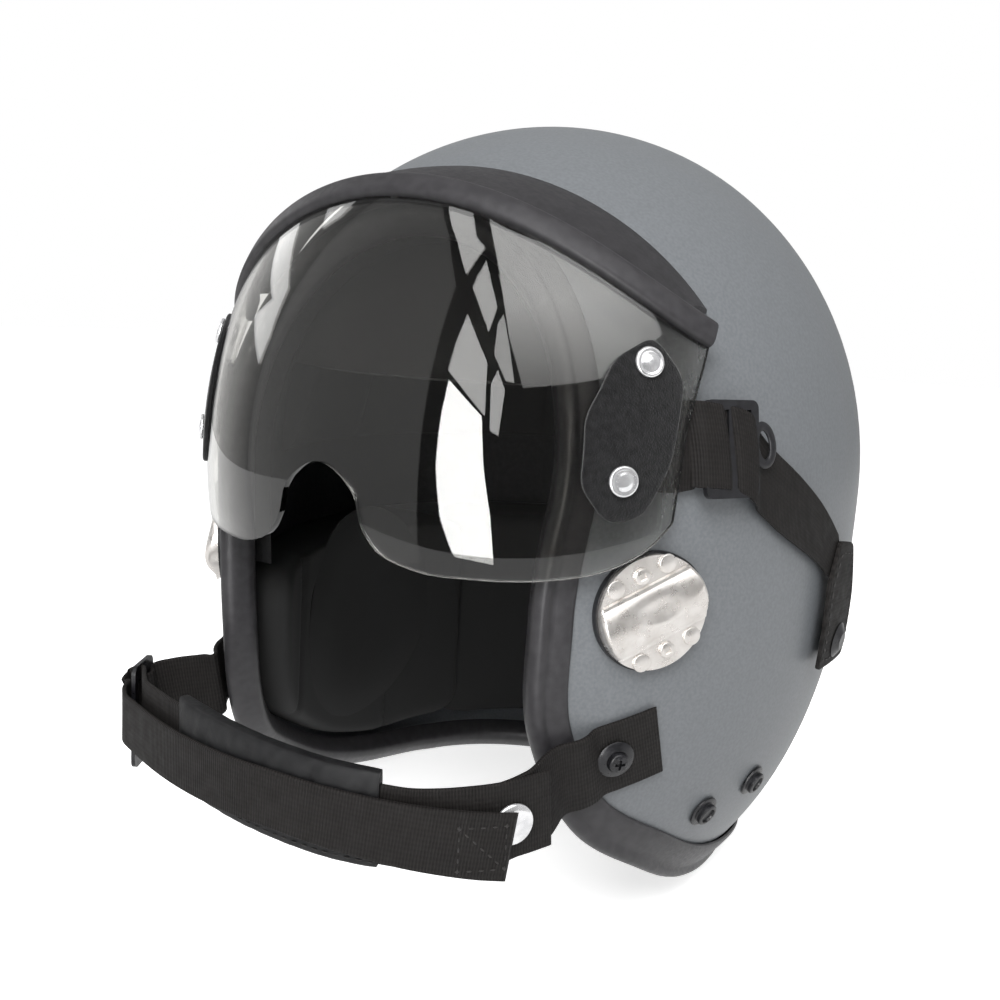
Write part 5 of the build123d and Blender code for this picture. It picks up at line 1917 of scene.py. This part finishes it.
@dataclass(frozen=True)
class Studio:
    """Camera, pale floor and soft light."""

    azimuth: float = 29.49
    elevation: float = 9.17
    roll: float = 3.3
    distance: float = 454.4
    target: tuple[float, float] = (-14.15, 137.56)
    focal: float = 1111.4
    frame_size: float = 1000.0
    sensor: float = 36.0
    ambient: float = 0.36
    dim: float = 0.05
    floor_glow: float = 0.7
    floor_half: float = 6000.0
    table_front: float = 460.0
    table_half: float = 1200.0
    table_depth: float = 2400.0
    table_rise: float = 0.5

    def camera_frame(self) -> tuple[Array, Array, Array, Array]:
        """Camera's place in millimetres, and its right, up and backward directions."""
        a, e, r = (math.radians(angle) for angle in (self.azimuth, self.elevation, self.roll))
        back = np.array([math.sin(a) * math.cos(e), -math.cos(a) * math.cos(e), math.sin(e)])
        right = np.array([math.cos(a), math.sin(a), 0.0])
        up = np.cross(back, right)
        turned_right = right * math.cos(r) + up * math.sin(r)
        turned_up = -right * math.sin(r) + up * math.cos(r)
        across, level = self.target
        place = np.array([0.0, 0.0, level]) + right * across + back * self.distance
        return place, turned_right, turned_up, back

    def place_camera(self) -> None:
        """Camera at the photograph's viewing angle."""
        place, right, up, back = self.camera_frame()
        camera = bpy.data.objects.new("camera", bpy.data.cameras.new("camera"))
        bpy.context.scene.collection.objects.link(camera)
        rows = np.column_stack([right, up, back, place * MM])
        camera.matrix_world = Matrix([*rows.tolist(), [0, 0, 0, 1]])
        camera.data.sensor_fit = "HORIZONTAL"
        camera.data.sensor_width = self.sensor
        camera.data.lens = self.focal * self.sensor / self.frame_size
        camera.data.clip_start = 0.01
        bpy.context.scene.camera = camera

    def build_world(self) -> None:
        """White surround that is dim in front of the object, where the room lies, for what it mirrors."""
        world = bpy.data.worlds.new("studio")
        bpy.context.scene.world = world
        world.use_nodes = True
        tree = world.node_tree
        shade = tree.nodes["Background"]
        shade.inputs["Color"].default_value = linear("#ffffff")
        direction = add(tree, "ShaderNodeTexCoord").outputs["Generated"]
        way = add(tree, "ShaderNodeSeparateXYZ", {"Vector": direction})
        from_front = {"Value": way.outputs["Y"], "To Min": self.dim}
        room_span = {**from_front, "From Min": -0.75, "From Max": 0.6, "To Max": 0.42}
        room = add(tree, "ShaderNodeMapRange", room_span, interpolation_type="SMOOTHSTEP")
        beyond_span = {**from_front, "From Min": -0.3, "From Max": 0.3, "To Max": 1.0}
        beyond = add(tree, "ShaderNodeMapRange", beyond_span)
        rays = add(tree, "ShaderNodeLightPath")
        mirrored = {"Factor": rays.outputs["Is Glossy Ray"], 2: self.ambient, 3: room.outputs["Result"]}
        lit = add(tree, "ShaderNodeMix", mirrored)
        levels = {2: lit.outputs[0], 3: beyond.outputs["Result"]}
        through = {"Factor": rays.outputs["Is Transmission Ray"], **levels}
        lens = add(tree, "ShaderNodeMix", through)
        seen = {"Factor": rays.outputs["Is Camera Ray"], 2: lens.outputs[0], 3: 1.0}
        whole = add(tree, "ShaderNodeMix", seen)
        tree.links.new(whole.outputs[0], shade.inputs["Strength"])

    def build_floor(self) -> None:
        """Pale floor that keeps the object's shadow and is white where nothing shades it."""
        corners = np.array([[-1.0, -1.0, 0.0], [1.0, -1.0, 0.0], [1.0, 1.0, 0.0], [-1.0, 1.0, 0.0]])
        floor = make_piece("floor", corners * self.floor_half, [[0, 1, 2, 3]])
        made = bpy.data.materials.new("matt_white_board")
        made.use_nodes = True
        tree = made.node_tree
        shader = tree.nodes["Principled BSDF"]
        shader.inputs["Base Color"].default_value = linear("#f0f0f0")
        shader.inputs["Roughness"].default_value = 0.9
        shader.inputs["Specular IOR Level"].default_value = 0.1
        shader.inputs["Emission Color"].default_value = linear("#ffffff")
        seen = add(tree, "ShaderNodeLightPath").outputs["Is Camera Ray"]
        glow = add(tree, "ShaderNodeMath", {0: seen, 1: self.floor_glow}, operation="MULTIPLY")
        tree.links.new(glow.outputs[0], shader.inputs["Emission Strength"])
        floor.data.materials.append(made)
        floor.visible_glossy = floor.visible_transmission = False

    def build_table(self) -> None:
        """White table top under the object, seen only where it is mirrored."""
        angle = math.radians(self.azimuth)
        back = np.array([-math.sin(angle), math.cos(angle), 0.0])
        side = np.array([math.cos(angle), math.sin(angle), 0.0])
        edge = -self.table_front * back + [0.0, 0.0, self.table_rise]
        near = [edge - self.table_half * side, edge + self.table_half * side]
        far = [corner + self.table_depth * back for corner in reversed(near)]
        table = make_piece("table_top", np.array([*near, *far]), [[0, 1, 2, 3]])
        self.mirrored_only(table, 1.0)
        table.visible_transmission = False

    @staticmethod
    def lamp(name: str, place: tuple[float, float, float], size: float, power: float) -> None:
        """Soft square lamp, in millimetres, that faces the object and isn't mirrored in it.

        Args:
            name: the lamp's name.
            place: its middle.
            size: its side.
            power: its power in watts.
        """
        light = bpy.data.lights.new(name, "AREA")
        light.shape = "RECTANGLE"
        light.size = light.size_y = size * MM
        light.energy = power
        lamp = bpy.data.objects.new(name, light)
        bpy.context.scene.collection.objects.link(lamp)
        place = np.array(place)
        back = unit(place - np.array([0.0, 0.0, 140.0]))
        right = unit(np.cross([0.0, 0.0, 1.0], back))
        rows = np.column_stack([right, np.cross(back, right), back, place * MM])
        lamp.matrix_world = Matrix([*rows.tolist(), [0, 0, 0, 1]])
        lamp.visible_glossy = lamp.visible_transmission = False

    @staticmethod
    def mirrored_only(board: Piece, strength: float, fade: Pair | None = None) -> None:
        """Lights a board that shows only in mirrors and casts nothing.

        Args:
            board: the new board.
            strength: its brightness.
            fade: levels in millimetres between which it rises from a fifth to its full brightness.
        """
        made = bpy.data.materials.new(f"lit_{board.name}")
        made.use_nodes = True
        made.cycles.emission_sampling = "NONE"
        tree = made.node_tree
        shader = tree.nodes["Principled BSDF"]
        shader.inputs["Base Color"].default_value = linear("#000000")
        shader.inputs["Specular IOR Level"].default_value = 0.0
        shader.inputs["Emission Color"].default_value = linear("#ffffff")
        shader.inputs["Emission Strength"].default_value = strength
        if fade:
            where = add(tree, "ShaderNodeTexCoord").outputs["Object"]
            place = add(tree, "ShaderNodeSeparateXYZ", {"Vector": where})
            levels = {"Value": place.outputs["Z"], "From Min": fade[0] * MM, "From Max": fade[1] * MM}
            rise = add(tree, "ShaderNodeMapRange", {**levels, "To Min": strength / 5, "To Max": strength})
            tree.links.new(rise.outputs["Result"], shader.inputs["Emission Strength"])
        board.data.materials.append(made)
        board.visible_camera = board.visible_diffuse = board.visible_shadow = False

    def pane(self, name: str, corners: tuple[Pair, ...], strength: float, fade: Pair | None = None) -> None:
        """Lit pane 1.6 metres off for the lens to mirror.

        Args:
            name: the pane's name.
            corners: azimuths, from straight ahead towards the wearer's left, and levels.
            strength: its brightness.
            fade: see mirrored_only.
        """
        outline = np.array(corners, float) * [RING_MM_PER_DEGREE, 1.0]
        outline = even_run(np.vstack([outline, outline[:1]]), 121)[:-1]
        middle = outline.mean(axis=0)
        spots = middle + (outline - middle) * np.linspace(0, 1, 14)[:, None, None]
        angle = np.radians(spots[..., 0] / RING_MM_PER_DEGREE)
        points = np.stack([RING * np.sin(angle), -RING * np.cos(angle), spots[..., 1]], axis=-1)
        self.mirrored_only(grid_piece(name, points, close_columns=True), strength, fade)

    def build(self) -> None:
        """Camera, surround, floor, lamps, table and the room's windows."""
        self.place_camera()
        self.build_world()
        self.build_floor()
        self.build_table()
        self.lamp("key", (420.0, -1080.0, 1290.0), 1000.0, 39.0)
        self.lamp("fill", (1500.0, -1300.0, 300.0), 1200.0, 6.0)
        self.build_panes()

    def build_panes(self) -> None:
        """The room's windows and walls as lit panes: brightness first, then the corners."""
        tall = ((11, 820), (24, 550), (26, 170), (29, -170), (31, -570))
        tall += ((17, -520), (12, -190), (10, 170), (10, 520))
        self.pane("tall_window", tall, 11.0)
        upper = (
            (3.6, ((-33, 3970), (-10, 4400), (4, 3220), (12, 2910), (7, 2120), (-7, 2920))),
            (3.6, ((12, 1920), (15, 2520), (25, 1630), (23, 1310))),
            (3.8, ((13, 1510), (24, 990), (25, 550), (10, 900), (11, 1190))),
            (3.0, ((26, 1410), (28, 1540), (32, 1090), (34, 820), (31, 840), (26, 1080))),
            (3.6, ((28, 930), (31, 760), (30, 410), (27, 450), (26, 810))),
        )
        for number, (strength, corners) in enumerate(upper, 1):
            self.pane(f"upper_pane_{number}", corners, strength)
        dim = ((-74, -600), (-74, 3900), (-40, 3900), (-14, 3000), (4, 1900), (4, -600))
        self.pane("dim_wall", dim, 0.42)
        lit = ((6, 4300), (21, 2540), (31, 1260), (37, 780), (63, 820), (87, 1100), (82, 1750), (53, 2840))
        self.pane("lit_wall", lit, 3.6, (600.0, 1700.0))
        low = ((-112, 850), (-102, 980), (-89, 950), (-79, 900), (-86, 740), (-102, 740), (-115, 740))
        self.pane("left_pane_1", low, 2.4)
        self.pane("left_pane_3", ((-79, 900), (-76, 620), (-77, 460), (-93, 570), (-86, 740)), 2.4)
        self.pane("left_pane_2", ((-84, 1930), (-98, 1350), (-85, 1310), (-82, 1550)), 2.4)


def dress_solids() -> None:
    """Gives the solids that keep their own mesh their finishes."""
    paired = {"ear_cup": NYLON, "receiver_shim": NYLON, "visor_buckle": NYLON, "receiver_plate": NICKEL}
    finishes = {f"{node}_{side}": finish for node, finish in paired.items() for side in SIDES}
    finishes |= {"energy_liner": LINER_FOAM, "receiver_nuts": NICKEL}
    finishes |= {"ladder_buckle": BLACK_STEEL, "keeper_snaps": BLACK_STEEL, "tee_nuts": BLACK_STEEL}
    for name, finish in finishes.items():
        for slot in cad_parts[name].material_slots:
            slot.material = finish.material()


def main() -> None:
    """Builds the studio and every sub-assembly."""
    logging.basicConfig(level=logging.INFO, format="%(message)s")
    bpy.context.scene.view_settings.view_transform = "Standard"
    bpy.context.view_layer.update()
    Studio().build()
    for part in (ShellAndTrim(), Pads(), Visor(), Receivers(), ChinStrap(), NapeStuds()):
        part.build()
    dress_solids()
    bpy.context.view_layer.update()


if __name__ == "__main__":
    main()
